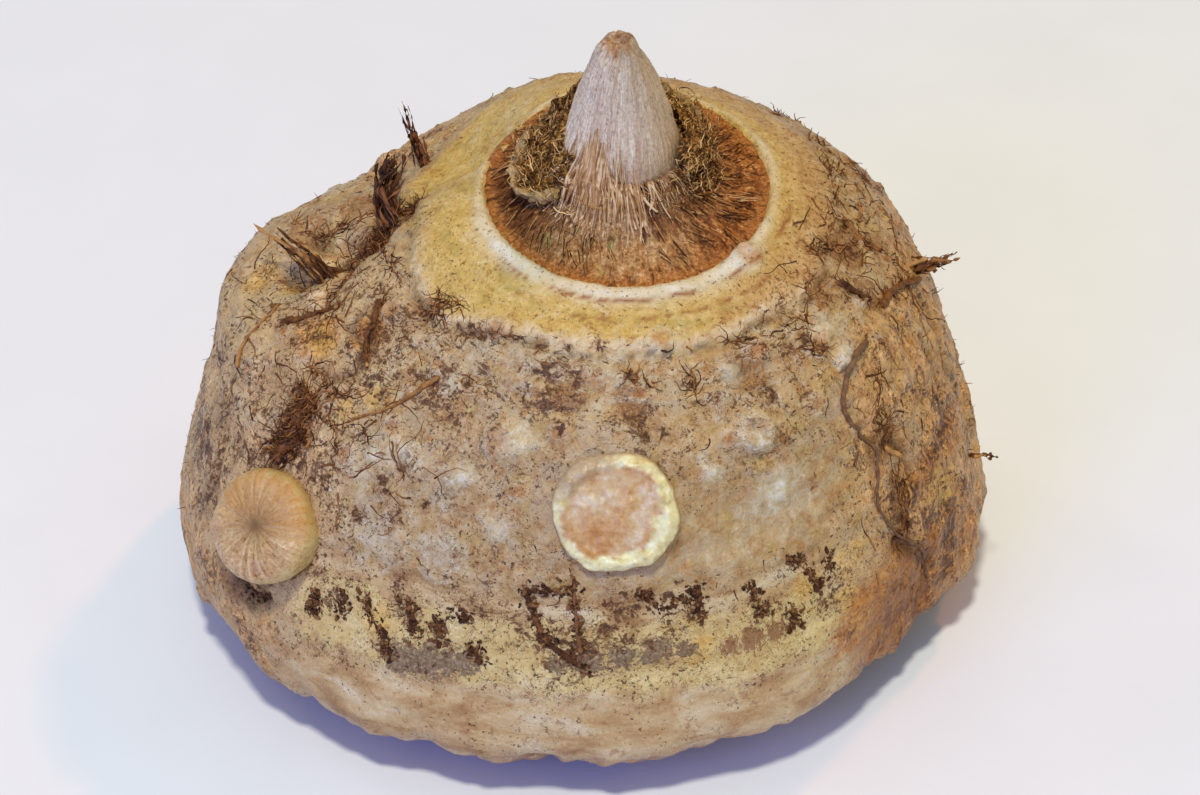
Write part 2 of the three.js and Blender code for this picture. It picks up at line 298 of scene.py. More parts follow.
def strands(name, lines, roundness=0):
    """A mesh of tapered round strands; each is a list of (point, radius in millimetres). Each
    strand carries a tone of its own from 0 to 1."""
    curve = bpy.data.curves.new(name, "CURVE")
    curve.dimensions = "3D"
    curve.bevel_depth = MM
    curve.bevel_resolution = roundness
    curve.use_fill_caps = True
    tones = []
    ring = 4 + 2 * roundness
    rng = random.Random(name)
    for line in lines:
        spline = curve.splines.new("POLY")
        spline.points.add(len(line) - 1)
        for knot, (point, radius) in zip(spline.points, line):
            knot.co = (*point, 1)
            knot.radius = radius
        tones += [rng.random()] * ((len(line) + 2) * ring)
    carrier = bpy.data.objects.new(name, curve)
    scene.collection.objects.link(carrier)
    mesh = bpy.data.meshes.new_from_object(carrier)
    bpy.data.objects.remove(carrier)
    if len(tones) != len(mesh.vertices):
        raise ValueError(f"{name}: {len(tones)} tones for {len(mesh.vertices)} vertices")
    store(mesh, "tone", tones)
    return mesh


# ------------------------------------------------------------------ finishes

def tint(red, green, blue):
    """A colour given as a screen shows it, 0 to 255, turned into light."""
    linear = [((c / 255 + 0.055) / 1.055) ** 2.4 if c > 10 else c / 3295 for c in (red, green, blue)]
    return (*linear, 1)


class Finish:
    """A procedural material. Each method adds a node and gives its output. Lengths are in
    millimetres: a pattern of 2 per_mm has about two features in a millimetre."""

    def __init__(self, name):
        self.material = bpy.data.materials.new(name)
        self.material.use_nodes = True
        self.tree = self.material.node_tree
        self.shader = self.tree.nodes["Principled BSDF"]
        where = self.tree.nodes.new("ShaderNodeTexCoord").outputs["Object"]
        self.where = self.add("ShaderNodeVectorMath", {0: where, 3: 1 / MM}, operation="SCALE")

    def add(self, kind, inputs, output=0, **settings):
        """Adds a node with its inputs linked or set."""
        node = self.tree.nodes.new(kind)
        for key, value in settings.items():
            setattr(node, key, value)
        for key, value in inputs.items():
            if isinstance(value, bpy.types.NodeSocket):
                self.tree.links.new(value, node.inputs[key])
            else:
                node.inputs[key].default_value = value
        return node.outputs[output]

    def number(self, name):
        """A number kept for each vertex."""
        return self.add("ShaderNodeAttribute", {}, "Fac", attribute_name=name)

    def vector(self, name):
        """Three numbers kept for each vertex."""
        return self.add("ShaderNodeAttribute", {}, "Vector", attribute_name=name)

    def stretched(self, stretch, where=None):
        """A place with each of its axes scaled."""
        return self.add("ShaderNodeVectorMath", {0: where or self.where, 1: stretch}, operation="MULTIPLY")

    def noise(self, per_mm, detail=3, rough=0.55, stretch=None, where=None, warp=0.0, seed=0):
        """Noise from 0 to 1; another seed gives another pattern."""
        place = where or self.where
        if stretch:
            place = self.stretched(stretch, place)
        if seed:
            shift = (17.3 * seed, -9.1 * seed, 5.7 * seed)
            place = self.add("ShaderNodeVectorMath", {0: place, 1: shift}, operation="ADD")
        return self.add("ShaderNodeTexNoise", {
            "Vector": place, "Scale": per_mm, "Detail": detail, "Roughness": rough, "Distortion": warp,
        })

    def math(self, operation, a, b=0.0, clamp=False):
        """Arithmetic on two values."""
        return self.add("ShaderNodeMath", {0: a, 1: b}, operation=operation, use_clamp=clamp)

    def step(self, value, low, high):
        """0 where a value is below low, 1 above high."""
        return self.add("ShaderNodeMapRange", {0: value, 1: low, 2: high, 3: 0.0, 4: 1.0},
                        interpolation_type="SMOOTHSTEP")

    def span(self, value, low, high):
        """A value from 0 to 1 carried to between low and high."""
        return self.add("ShaderNodeMapRange", {0: value, 1: 0.0, 2: 1.0, 3: low, 4: high})

    def mix(self, share, first, second, strength=1.0):
        """The first colour, with a share of the second."""
        if strength != 1:
            share = self.math("MULTIPLY", share, strength)
        return self.add("ShaderNodeMix", {0: share, 6: first, 7: second}, 2, data_type="RGBA")

    def times(self, *shares):
        """Shares multiplied together."""
        total = shares[0]
        for share in shares[1:]:
            total = self.math("MULTIPLY", total, share)
        return total

    def broken(self, zone, field, low=0.5, high=0.6, reach=1.6):
        """A zone from 0 to 1, with its edge and its inside broken up by a field of noise."""
        swing = self.span(field, -0.5 * reach, 0.5 * reach)
        return self.step(self.math("ADD", self.math("MULTIPLY", zone, 0.85), swing), low, high)

    def shaded(self, colour, tone, amount):
        """A colour made darker or lighter by a tone from 0 to 1."""
        factor = self.span(tone, 1 - amount, 1 + amount)
        return self.add("ShaderNodeVectorMath", {0: colour, 3: factor}, operation="SCALE")

    def dappled(self, colour, field, low, high, shade, strength):
        """A colour with patches of another shade where a field is high."""
        return self.mix(self.step(field, low, high), colour, tint(*shade), strength)

    def blend(self, value, *stops):
        """A colour ramp through (position, colour) stops."""
        node = self.tree.nodes.new("ShaderNodeValToRGB")
        ramp = node.color_ramp
        while len(ramp.elements) < len(stops):
            ramp.elements.new(0.5)
        for element, (position, colour) in zip(ramp.elements, stops):
            element.position = position
            element.color = colour
        self.tree.links.new(value, node.inputs[0])
        return node.outputs[0]

    def even(self, *fields, swing=0.2):
        """Fields of noise added up and spread evenly from 0 to 1."""
        total = fields[0]
        for field in fields[1:]:
            total = self.math("ADD", total, field)
        middle = 0.5 * len(fields)
        reach = swing * len(fields) ** 0.5
        ends = {0: total, 1: middle - reach, 2: middle + reach, 3: 0.0, 4: 1.0}
        return self.add("ShaderNodeMapRange", ends)

    def tones(self, value, *colours):
        """A colour ramp through colours at even steps from 0 to 1."""
        return self.blend(value, *((i / (len(colours) - 1), tint(*c)) for i, c in enumerate(colours)))

    def relief(self, height, depth_mm, strength=1.0):
        """Bumps of a height from 0 to 1 that are so deep, over those made before."""
        inputs = {"Height": height, "Distance": depth_mm * MM, "Strength": strength}
        normal = self.shader.inputs["Normal"]
        if normal.is_linked:
            inputs["Normal"] = normal.links[0].from_socket
        self.tree.links.new(self.add("ShaderNodeBump", inputs), normal)

    def finish(self, colour, roughness, **constants):
        """Connects the colour and the roughness, and sets what is the same all over."""
        self.tree.links.new(colour, self.shader.inputs["Base Color"])
        if isinstance(roughness, bpy.types.NodeSocket):
            self.tree.links.new(roughness, self.shader.inputs["Roughness"])
        else:
            self.shader.inputs["Roughness"].default_value = roughness
        for key, value in constants.items():
            self.shader.inputs[key.replace("_", " ")].default_value = value
        return self.material


def flank_tones(f, n):
    """Tan and brown mottling, more fibrous at the sides, with stains over it."""
    colour = f.tones(f.even(n.patchy, n.mottle), (147, 105, 63), (176, 134, 85), (190, 151, 102),
                     (200, 166, 121), (212, 187, 146))
    fibrous = f.tones(f.even(n.down, n.mottle), (143, 90, 45), (196, 134, 74), (226, 164, 100),
                      (246, 186, 119), (255, 212, 148))
    colour = f.mix(f.number("side"), colour, fibrous, 0.8)
    colour = f.dappled(colour, f.noise(0.3, 4, 0.6, seed=5), 0.5, 0.62, (187, 153, 86), 0.4)
    colour = f.dappled(colour, f.noise(0.55, 5, 0.68, seed=2, warp=0.6), 0.53, 0.64, (170, 108, 54), 0.5)
    colour = f.dappled(colour, f.noise(0.3, 6, 0.7, seed=3, warp=0.8), 0.49, 0.62, (186, 163, 132), 0.55)
    brown = f.tones(f.even(n.grain), (98, 55, 22), (148, 94, 46), (184, 132, 76))
    return f.mix(f.broken(f.number("stain"), n.mottle, 0.4, 0.6, 1.3), colour, brown, 0.7)


def crown_tones(f, n):
    """The crown's yellow, olive and tan."""
    yellow = f.tones(f.even(f.noise(0.3, 5, 0.65), n.mottle), (178, 130, 64), (201, 160, 80),
                     (210, 171, 94), (216, 179, 107), (223, 195, 133))
    tan = f.tones(f.even(n.patchy, n.mottle), (166, 108, 53), (188, 141, 83), (202, 160, 103),
                  (212, 175, 126))
    yellow = f.dappled(yellow, f.noise(0.42, 4, 0.6, seed=15), 0.52, 0.62, (176, 146, 70), 0.6)
    yellow = f.dappled(yellow, f.noise(0.55, 5, 0.7, seed=16), 0.56, 0.64, (222, 192, 142), 0.6)
    yellow = f.mix(f.number("tan"), yellow, tan)
    yellow = f.dappled(yellow, f.noise(0.7, 6, 0.75, seed=17, warp=0.6), 0.58, 0.66, (160, 104, 50), 0.6)
    return f.dappled(yellow, n.around, 0.53, 0.66, (186, 138, 70), 0.4)


def foot_tones(f, n, colour):
    """The cream band of the lower front, its butter-yellow belt and the veined foot."""
    cream = f.tones(f.even(n.calm), (156, 110, 65), (177, 135, 88), (195, 157, 108), (206, 176, 131),
                    (216, 190, 153))
    cream = f.dappled(cream, f.noise(0.7, 5, 0.7, seed=5, warp=0.6), 0.56, 0.66, (153, 97, 55), 0.6)
    colour = f.mix(f.number("band"), colour, cream)
    butter = f.tones(f.even(n.mottle), (196, 160, 92), (218, 188, 118), (232, 210, 152))
    colour = f.mix(f.broken(f.number("butter"), n.patchy, 0.3, 0.6, 1.1), colour, butter, 0.6)
    pink = f.tones(f.even(n.calm, n.patchy), (131, 88, 60), (162, 117, 83), (179, 139, 103), (193, 161, 129))
    pink = f.dappled(pink, f.noise(0.9, 5, 0.72, seed=12, warp=1.2), 0.53, 0.6, (138, 80, 42), 0.65)
    pink = f.dappled(pink, f.noise(0.6, 4, 0.65, seed=18, warp=0.8), 0.55, 0.62, (216, 192, 158), 0.6)
    return f.mix(f.number("skirt"), colour, pink, 0.85)


def warm_patches(f, n, colour):
    """The sunlit left, and rusty, amber and bare fleshy patches."""
    colour = f.mix(f.number("sunny"), colour, tint(226, 190, 140), 0.35)
    rusty = f.tones(f.even(n.down, n.grain), (112, 56, 21), (172, 105, 44), (213, 146, 77), (244, 192, 124))
    colour = f.mix(f.broken(f.number("rusty"), n.mottle, 0.3, 0.7, 1.2), colour, rusty, 0.9)
    amber = f.tones(f.even(n.mottle), (176, 116, 44), (214, 164, 78), (230, 196, 120))
    colour = f.mix(f.broken(f.number("amber"), n.patchy, 0.3, 0.8, 1.1), colour, amber, 0.65)
    flesh = f.tones(f.even(n.mottle), (190, 128, 76), (222, 178, 130), (236, 210, 176))
    return f.mix(f.broken(f.number("flesh"), n.mottle, 0.42, 0.58, 0.8), colour, flesh, 0.9)


def skin_film(f, n):
    """Where a thin whitish film lies on the skin, also in streaks round the upper belt."""
    belt = f.times(f.number("belt"), f.step(n.around, 0.48, 0.6))
    zone = f.math("MAXIMUM", f.number("film"), f.math("MULTIPLY", belt, 0.8))
    return f.broken(zone, f.noise(0.5, 3, 0.6, warp=0.8, seed=21), 0.42, 0.8, 1.7)


def pale_tones(f, n, colour, film):
    """Film, ash, the crown's rim and lip, and the rings and scabs of dropped roots."""
    whitish = f.tones(f.even(n.mottle), (176, 150, 116), (200, 182, 150), (224, 214, 196))
    colour = f.mix(film, colour, whitish, 0.5)
    ash = f.tones(f.even(n.grain), (70, 48, 32), (116, 90, 68), (164, 140, 114))
    here = f.broken(f.number("ash"), f.noise(1.5, 5, 0.75, seed=11), 0.42, 0.56, 1.9)
    colour = f.mix(here, colour, ash, 0.85)
    rim = f.tones(f.even(n.patchy), (217, 196, 160), (230, 216, 192), (238, 234, 222))
    colour = f.mix(f.number("rim"), colour, rim, 0.95)
    lip = f.tones(f.even(n.mottle), (196, 144, 98), (222, 190, 150), (236, 218, 192))
    colour = f.mix(f.number("lip"), colour, lip, 0.75)
    colour = f.mix(f.times(f.number("ring"), f.step(n.mottle, 0.3, 0.6)), colour, tint(216, 196, 164), 0.6)
    scab = f.tones(f.even(n.grain), (128, 72, 32), (182, 112, 56), (208, 148, 92))
    colour = f.mix(f.times(f.number("scab"), f.step(n.grain, 0.2, 0.45)), colour, scab, 0.9)
    colour = f.mix(f.times(f.number("halo"), f.even(n.mottle)), colour, tint(183, 155, 122), 0.7)
    return f.mix(f.number("stripe"), colour, tint(146, 78, 28), 0.9)


def dark_marks(f, n, colour):
    """Blots, upright and level strokes, specks, fine threads, freckles and scribbles."""
    strokes = f.number("strokes")
    crowd = f.noise(0.2, 3, 0.6, seed=9)
    heaped = f.math("ADD", f.span(strokes, -0.06, 0.1), f.span(crowd, -0.22, 0.22))
    blots = f.noise(0.8, 6, 0.75, seed=1, warp=0.7)
    upright = f.noise(1.5, 5, 0.74, stretch=(1, 1, 0.4), where=n.flow, warp=0.6, seed=4)
    level = f.noise(0.9, 5, 0.74, stretch=(0.45, 0.45, 1.2), where=n.flow, warp=0.6, seed=6)
    dark = f.tones(f.even(n.grain), (50, 24, 10), (92, 52, 24), (144, 96, 54))
    for field, zone, low in ((blots, strokes, 0.62), (upright, f.number("side"), 0.615),
                             (level, f.number("belt"), 0.6)):
        mark = f.step(f.math("ADD", field, heaped), low, low + 0.06)
        colour = f.mix(f.times(mark, f.step(zone, 0.1, 0.5)), colour, dark, 0.8)
    crowded = f.math("MULTIPLY", heaped, 0.6)
    specks = f.step(f.math("ADD", f.noise(1.9, 4, 0.72, seed=7), crowded), 0.6, 0.63)
    colour = f.mix(f.times(specks, f.step(strokes, 0.02, 0.2)), colour, tint(72, 36, 15), 0.85)
    for per_mm, seed, thin in ((0.7, 13, 0.014), (1.3, 14, 0.02)):
        wander = f.math("SUBTRACT", f.noise(per_mm, 3, 0.6, seed=seed, warp=1.4), 0.5)
        here = f.step(f.math("ADD", f.noise(0.45, 3, seed=seed + 5), crowded), 0.5, 0.56)
        line = f.step(f.math("ABSOLUTE", wander), thin, 0.4 * thin)
        thread = f.times(line, here, f.step(strokes, 0.1, 0.4))
        colour = f.mix(thread, colour, tint(92, 48, 20), 0.75)
    lean = f.math("MULTIPLY", f.number("tan"), 0.05)
    freckles = f.step(f.math("ADD", f.noise(2.0, 4, 0.75, seed=8), lean), 0.6, 0.63)
    colour = f.mix(f.times(freckles, f.number("crown")), colour, tint(112, 62, 24), 0.75)
    scribble = f.noise(2.1, 4, 0.75, stretch=(1, 1, 0.4), where=n.flow)
    scribble = f.broken(f.number("scribble"), scribble, 0.5, 0.66, 2.0)
    return f.mix(scribble, colour, tint(138, 86, 50), 0.8)


def soil_and_hollows(f, n, colour):
    """Ochre foot, painted shade in the hollows and cracks, and soil with its rusty edge."""
    ochre = f.tones(f.even(n.mottle), (104, 50, 8), (160, 88, 18), (204, 132, 46))
    colour = f.mix(f.broken(f.number("ochre"), n.patchy, 0.2, 0.6, 1.2), colour, ochre, 0.5)
    # Painted shade: dark brown in the grooves, cracks and deep recesses of the relief.
    hollow = f.times(f.number("hollow"), f.span(n.mottle, 0.3, 1.4))
    colour = f.mix(hollow, colour, tint(70, 40, 22), 0.9)
    soiled = f.math("ADD", f.number("soil"), f.span(f.noise(1.0, 5, 0.68, warp=0.8), -1.9, 1.9))
    in_soil = f.step(f.number("soil"), 0, 0.4)
    colour = f.mix(f.times(f.step(soiled, 0.3, 1.0), in_soil), colour, tint(140, 92, 50), 0.6)
    dark = f.tones(f.even(n.grain), (40, 19, 8), (78, 43, 20), (126, 82, 46))
    return f.mix(f.times(f.step(soiled, 0.72, 1.0), in_soil), colour, dark, 0.9)


def skin_finish():
    """Waxy tuber skin: zones from the mesh choose the tones, with stains, film and marks over them."""
    f = Finish("tuber_skin")
    flow = f.vector("flow")
    n = SimpleNamespace(
        flow=flow,
        patchy=f.noise(0.36, 5, 0.62, warp=0.6),
        mottle=f.noise(0.9, 4, 0.66, warp=0.7),
        grain=f.noise(2.4, 4, 0.68),
        fine=f.noise(7, 3, 0.65),
        calm=f.noise(0.16, 4, 0.6, stretch=(1, 1, 2.2), warp=0.5),
        down=f.noise(1.2, 5, 0.7, stretch=(1, 1, 0.22), where=flow),
        around=f.noise(1.2, 5, 0.68, stretch=(0.13, 0.13, 1.3), where=flow),
    )
    colour = f.mix(f.number("crown"), flank_tones(f, n), crown_tones(f, n))
    colour = warm_patches(f, n, foot_tones(f, n, colour))
    colour = f.shaded(f.shaded(colour, n.grain, 0.3), n.fine, 0.26)
    film = skin_film(f, n)
    colour = dark_marks(f, n, pale_tones(f, n, colour, film))
    colour = soil_and_hollows(f, n, colour)
    # Painted highlight: pale whitish tones on the glossy swellings.
    blob = f.tones(f.even(n.mottle), (204, 170, 118), (224, 206, 168), (240, 234, 220))
    colour = f.mix(f.times(f.number("gloss_and_highlight"), f.span(n.patchy, 0.4, 1.4)), colour, blob, 0.7)

    wet = film
    for zone in ("gloss_and_highlight", "ring", "band"):
        wet = f.math("MAXIMUM", wet, f.number(zone))
    roughness = f.math("SUBTRACT", f.span(n.grain, 0.12, 0.56), f.math("MULTIPLY", wet, 0.12))
    uneven = f.span(f.number("band"), 1, 0.35)
    f.relief(n.patchy, 0.6, 0.35)
    f.relief(f.times(n.mottle, uneven), 0.5, 0.6)
    f.relief(f.times(n.grain, uneven), 0.24, 0.6)
    f.relief(n.fine, 0.05, 0.5)
    f.relief(f.times(n.down, f.number("side")), 0.5, 0.7)
    return f.finish(colour, roughness, Specular_IOR_Level=0.25)


def scar_finish():
    """The brown fibrous scar of the old leaf stalk, in streaks that run out from the bud."""
    f = Finish("leaf_scar")
    ray = f.vector("ray")
    streak = f.noise(1.0, 6, 0.74, where=ray)
    wide = f.noise(0.4, 3, 0.6, where=ray)
    grain = f.noise(2.6, 5, 0.74)
    blot = f.noise(0.8, 4, 0.65)
    tone = f.even(streak, grain, swing=0.17)
    colour = f.tones(tone, (71, 28, 7), (138, 72, 25), (185, 108, 45), (220, 142, 72), (255, 194, 123))
    colour = f.dappled(colour, wide, 0.5, 0.62, (110, 52, 17), 0.6)
    dull = f.tones(f.even(grain, blot), (132, 80, 40), (196, 136, 78), (232, 180, 118), (255, 230, 176))
    colour = f.mix(f.number("dull"), colour, dull, 0.8)
    green = f.step(f.noise(0.62, 2, seed=4), 0.63, 0.68)
    colour = f.mix(f.times(green, f.number("dull")), colour, tint(202, 187, 101), 0.8)
    edge = f.tones(f.even(grain), (140, 72, 24), (190, 116, 52), (228, 166, 96))
    colour = f.mix(f.number("edge"), colour, edge, 0.85)
    pale = f.tones(tone, (112, 70, 36), (186, 138, 90), (226, 188, 140), (250, 232, 200))
    colour = f.mix(f.number("light"), colour, pale, 0.85)
    colour = f.mix(f.times(f.number("shade"), f.span(streak, 1.4, 0.2)), colour, tint(62, 30, 18), 0.8)
    wedge = f.tones(tone, (52, 26, 18), (104, 62, 44), (150, 104, 78))
    colour = f.mix(f.times(f.number("wedge"), f.span(grain, 0.7, 1.2)), colour, wedge, 0.9)
    colour = f.shaded(colour, grain, 0.35)
    # Painted shade: thin black cracks between the fibres, fewer on the dull front.
    for per_turn, seed, low in ((1.0, 0, 0.4), (0.45, 3, 0.42)):
        crack_shade = f.step(f.noise(per_turn, 6, 0.74, where=ray, seed=seed), low + 0.03, low - 0.03)
        colour = f.mix(f.times(crack_shade, f.span(f.number("dull"), 0.95, 0.4)), colour, tint(44, 18, 6), 0.8)
    f.relief(streak, 0.6, 0.9)
    f.relief(grain, 0.3, 0.8)
    return f.finish(colour, f.span(grain, 0.14, 0.62), Specular_IOR_Level=0.2)


def bud_finish():
    """The bud's satin scale: grey and mauve fibres, tan near its foot, torn and orange at its tip."""
    f = Finish("bud_scale")
    ray = f.vector("ray")
    fibre = f.noise(1.0, 5, 0.72, where=ray, warp=0.4)
    wide = f.noise(0.3, 3, 0.6, where=ray)
    fleck = f.noise(2.6, 4, 0.7)
    colour = f.tones(f.even(fibre, fleck), (184, 142, 110), (217, 184, 154), (233, 207, 178),
                     (243, 223, 196), (255, 248, 226))
    colour = f.dappled(colour, wide, 0.5, 0.68, (198, 157, 127), 0.6)
    colour = f.mix(f.times(f.number("tan"), f.span(fibre, 0.5, 1.3)), colour, tint(206, 159, 113), 0.7)
    tip = f.tones(f.even(f.noise(1.8, 4, 0.7)), (150, 84, 38), (224, 160, 98), (250, 226, 188))
    colour = f.mix(f.number("tip"), colour, tip, 0.9)
    ripples = f.noise(1.0, 3, 0.6, where=f.stretched((1.2, 1.2, 4), ray), warp=0.6)
    colour = f.shaded(colour, ripples, 0.12)
    f.relief(fibre, 0.34, 0.9)
    f.relief(ripples, 0.2, 0.8)
    return f.finish(colour, f.span(fleck, 0.12, 0.46), Specular_IOR_Level=0.5)


def sheath_finish():
    """Corky torn sheath: dark and speckled in its bowl, with painted shade in its holes and a pale rim."""
    f = Finish("old_sheath")
    crumb = f.noise(2.2, 6, 0.8)
    coarse = f.noise(0.9, 4, 0.6)
    colour = f.tones(f.even(crumb), (26, 12, 5), (100, 56, 20), (172, 114, 50), (224, 168, 92),
                     (250, 212, 150))
    colour = f.dappled(colour, coarse, 0.5, 0.64, (158, 108, 44), 0.5)
    # Painted shade: near-black holes where the corky shell parts.
    holes = f.step(f.noise(1.3, 4, 0.7, seed=3), 0.53, 0.47)
    colour = f.mix(holes, colour, tint(24, 11, 5), 0.85)
    colour = f.mix(f.times(f.number("pale"), f.span(crumb, 0.5, 1.3)), colour, tint(236, 198, 138), 0.8)
    colour = f.shaded(colour, f.noise(1.1, 5, 0.75, seed=2), 0.6)
    f.relief(crumb, 0.5, 1.0)
    return f.finish(colour, f.span(crumb, 0.3, 0.7), Specular_IOR_Level=0.15)


# Dry fibre's tones, each from dark to light.
FIBRE_TONES = {
    "scar_fibre": ((40, 16, 6), (92, 50, 22), (140, 88, 46)),
    "orange_fibre": ((130, 76, 34), (182, 122, 66), (226, 178, 120)),
    "pale_fibre": ((120, 72, 38), (184, 136, 90), (230, 200, 160)),
    "curled_flap_fibre": ((34, 15, 5), (166, 106, 44), (255, 210, 140)),
    "torn_wall_fibre": ((34, 15, 5), (166, 106, 44), (255, 210, 140)),
    "sheath_fibre": ((34, 15, 5), (160, 102, 44), (252, 206, 138)),
    "dried_root_rotted": ((50, 28, 14), (94, 56, 30), (150, 102, 62)),
    "dried_root_brown": ((54, 27, 12), (136, 84, 40), (202, 148, 86)),
    "dried_root_grey": ((74, 42, 22), (136, 98, 66), (196, 170, 138)),
    "dried_root_clump": ((38, 20, 12), (84, 46, 26), (150, 94, 56)),
    "rotted_root": ((44, 22, 10), (88, 50, 24), (142, 94, 54)),
    "ragged_fibre": ((48, 25, 12), (108, 62, 32), (176, 118, 66)),
    "fine_root": ((58, 30, 14), (116, 70, 36), (172, 120, 72)),
}


def fibre_finish(name, roughness=0.6):
    """Dry plant fibre, each strand in a tone of its own."""
    f = Finish(name)
    dark, middle, light = (tint(*tone) for tone in FIBRE_TONES[name])
    along = f.noise(1.4, 3, 0.6)
    tone = f.math("ADD", f.math("MULTIPLY", f.number("tone"), 0.7), f.span(along, -0.2, 0.5), clamp=True)
    colour = f.blend(tone, (0.12, dark), (0.5, middle), (0.9, light))
    f.relief(f.noise(5.0, 3, 0.6), 0.08, 0.7)
    return f.finish(colour, f.span(along, roughness - 0.2, roughness + 0.1), Specular_IOR_Level=0.15)


def offset_finish():
    """The offset bud's orange-tan skin, wrinkled out from its middle."""
    f = Finish("offset_skin")
    streak = f.noise(1.0, 5, 0.7, where=f.vector("ray"))
    blot = f.noise(0.4, 3, 0.6)
    grain = f.noise(2.2, 5, 0.72)
    colour = f.tones(f.even(streak, grain), (124, 77, 38), (179, 132, 82), (204, 159, 108),
                     (219, 182, 131), (240, 216, 173))
    colour = f.dappled(colour, blot, 0.46, 0.66, (189, 143, 110), 0.6)
    wall = f.tones(f.even(blot, grain), (178, 138, 82), (210, 179, 118), (225, 204, 150))
    colour = f.mix(f.number("wall"), colour, wall, 0.85)
    colour = f.mix(f.number("amber"), colour, tint(198, 138, 62), 0.7)
    middle = f.number("middle")
    colour = f.mix(f.times(middle, f.span(grain, 0.2, 1.2)), colour, tint(130, 87, 49), 0.8)
    colour = f.dappled(colour, streak, 0.35, 0.3, (105, 64, 33), 0.7)
    colour = f.dappled(colour, grain, 0.36, 0.31, (113, 73, 40), 0.6)
    f.relief(streak, 0.34, 0.8)
    f.relief(grain, 0.16, 0.7)
    return f.finish(colour, f.span(grain, 0.14, 0.44), Specular_IOR_Level=0.4)


def snapped_finish():
    """The face left where an offset broke off: a pale yellow torn rim round a granular middle."""
    f = Finish("snapped_offset")
    grain = f.noise(1.5, 4, 0.62)
    blot = f.noise(0.34, 4, 0.6)
    colour = f.tones(f.even(blot, blot, grain), (190, 136, 80), (202, 156, 104), (206, 168, 122),
                     (210, 177, 138), (220, 196, 164))
    rim = f.tones(f.even(f.noise(0.7, 4, 0.6)), (200, 172, 116), (222, 202, 144), (234, 222, 170),
                  (242, 238, 208))
    colour = f.mix(f.number("orange"), colour, f.tones(f.even(grain), (168, 98, 40), (204, 144, 84)), 0.75)
    colour = f.mix(f.number("torn"), colour, rim)
    colour = f.mix(f.number("film"), colour, f.tones(f.even(grain), (158, 129, 95), (188, 166, 134)), 0.9)
    colour = f.shaded(colour, grain, 0.14)
    f.relief(blot, 0.35, 0.5)
    f.relief(grain, 0.14, 0.6)
    return f.finish(colour, f.span(grain, 0.16, 0.46), Specular_IOR_Level=0.35)


# ------------------------------------------------------------------ the tuber's body

# What marks the skin, by (angle, elevation) places as seen from the heart.
SNAPPED_PLACE = (275.5, 27)

# Furrows and cracks: a route, how wide and how deep in millimetres, and how dark the painted shade in them
# is.
FURROWS = [
    ([(143, 44), (155, 49.5), (174, 53), (187, 53.5), (189.5, 50), (182, 46.5), (176, 41.5)], 1.0, 1.1, 1.0),
    ([(190.5, 53), (187, 56), (185, 59), (169, 58)], 1.0, 0.8, 0.9),
    ([(183, 36), (187, 38), (187, 41), (186, 44), (191, 47)], 0.8, 0.9, 0.9),
    ([(190, 47), (196, 43), (200, 40)], 0.7, 0.7, 0.8),
    ([(210, 45), (210, 42), (217, 42), (219, 38), (215.5, 34)], 0.45, 0.5, 0.6),
    ([(212, -1), (216, -2), (219, -1)], 0.9, 0.8, 1.0),
    ([(211.5, 48), (214.5, 45), (216, 42), (220, 39.5)], 0.5, 0.5, 0.8),
    ([(197, 34), (199, 39), (202, 42.5)], 0.5, 0.5, 0.7),
    ([(329.5, 21), (331, 18), (331, 14)], 0.7, 0.9, 0.9),
    ([(325, 6), (329, 1), (334, -4)], 0.9, 0.6, 0.8),
    ([(344, 30), (346, 22), (345, 15)], 0.5, 0.5, 0.5),
    ([(352, 34), (353, 27), (351, 20), (353, 12)], 0.6, 0.5, 0.5),
    ([(8, 36), (12, 28), (10, 20)], 0.7, 0.5, 0.6),
    ([(28, 22), (32, 12), (30, 4)], 0.6, 0.5, 0.5),
    ([(96, 44), (102, 38), (100, 30)], 0.8, 0.6, 0.6),
    ([(128, 30), (134, 24), (131, 16)], 0.8, 0.6, 0.6),
    ([(165, 20), (168, 12), (165, 4)], 0.7, 0.6, 0.6),
    ([(190, 20), (193, 10), (190, 2)], 0.6, 0.5, 0.6),
    ([(200, 16), (202, 8), (199, 0)], 0.5, 0.5, 0.5),
    ([(262, -18), (265, -21), (270, -22.5)], 0.6, 0.7, 0.9),
]

# Glossy swellings of the skin, each with a painted pale highlight: place, reach and height in millimetres.
BLOBS = [((302, 33.5), 1.7, 0.7), ((292.5, 30.5), 1.2, 0.5), ((258.5, 37), 1.6, 0.4), ((249, 30), 1.4, 0.4),
         ((256.5, 23), 1.4, 0.3), ((301.5, 43.5), 1.1, 0.4), ((324, 42.5), 1.3, 0.5),
         ((235, 30.5), 1.3, 0.4),
         ((231.5, 28.5), 1.2, 0.5), ((324.5, 38), 1.2, 0.4), ((304, 25), 2.6, 0.4), ((60, 30), 2, 0.6),
         ((140, 26), 2, 0.6)]

# Broad swellings and dents of the flank: its middle and half width in degrees, its middle and
# half height, and how far it stands out, in millimetres.
BULGES = [(307, 8, 7, 5, -0.8), (358, 9, 23, 6, -1.0), (35, 14, 51, 5, -0.6), (166, 12, 42, 6, 1.1),
          (141, 7, 41, 6, -0.7), (206, 18, 17, 6, 1.0), (209, 16, 7, 6, -0.6)]

# Hollows of the left shoulder, with bare flesh in them: place, reach and depth in millimetres.
HOLLOWS = [((181, 44.5), 3.4, 1.5), ((186, 38.5), 2.4, 1.0), ((181, 33), 2.8, 1.0), ((172, 41), 2.4, 0.7)]

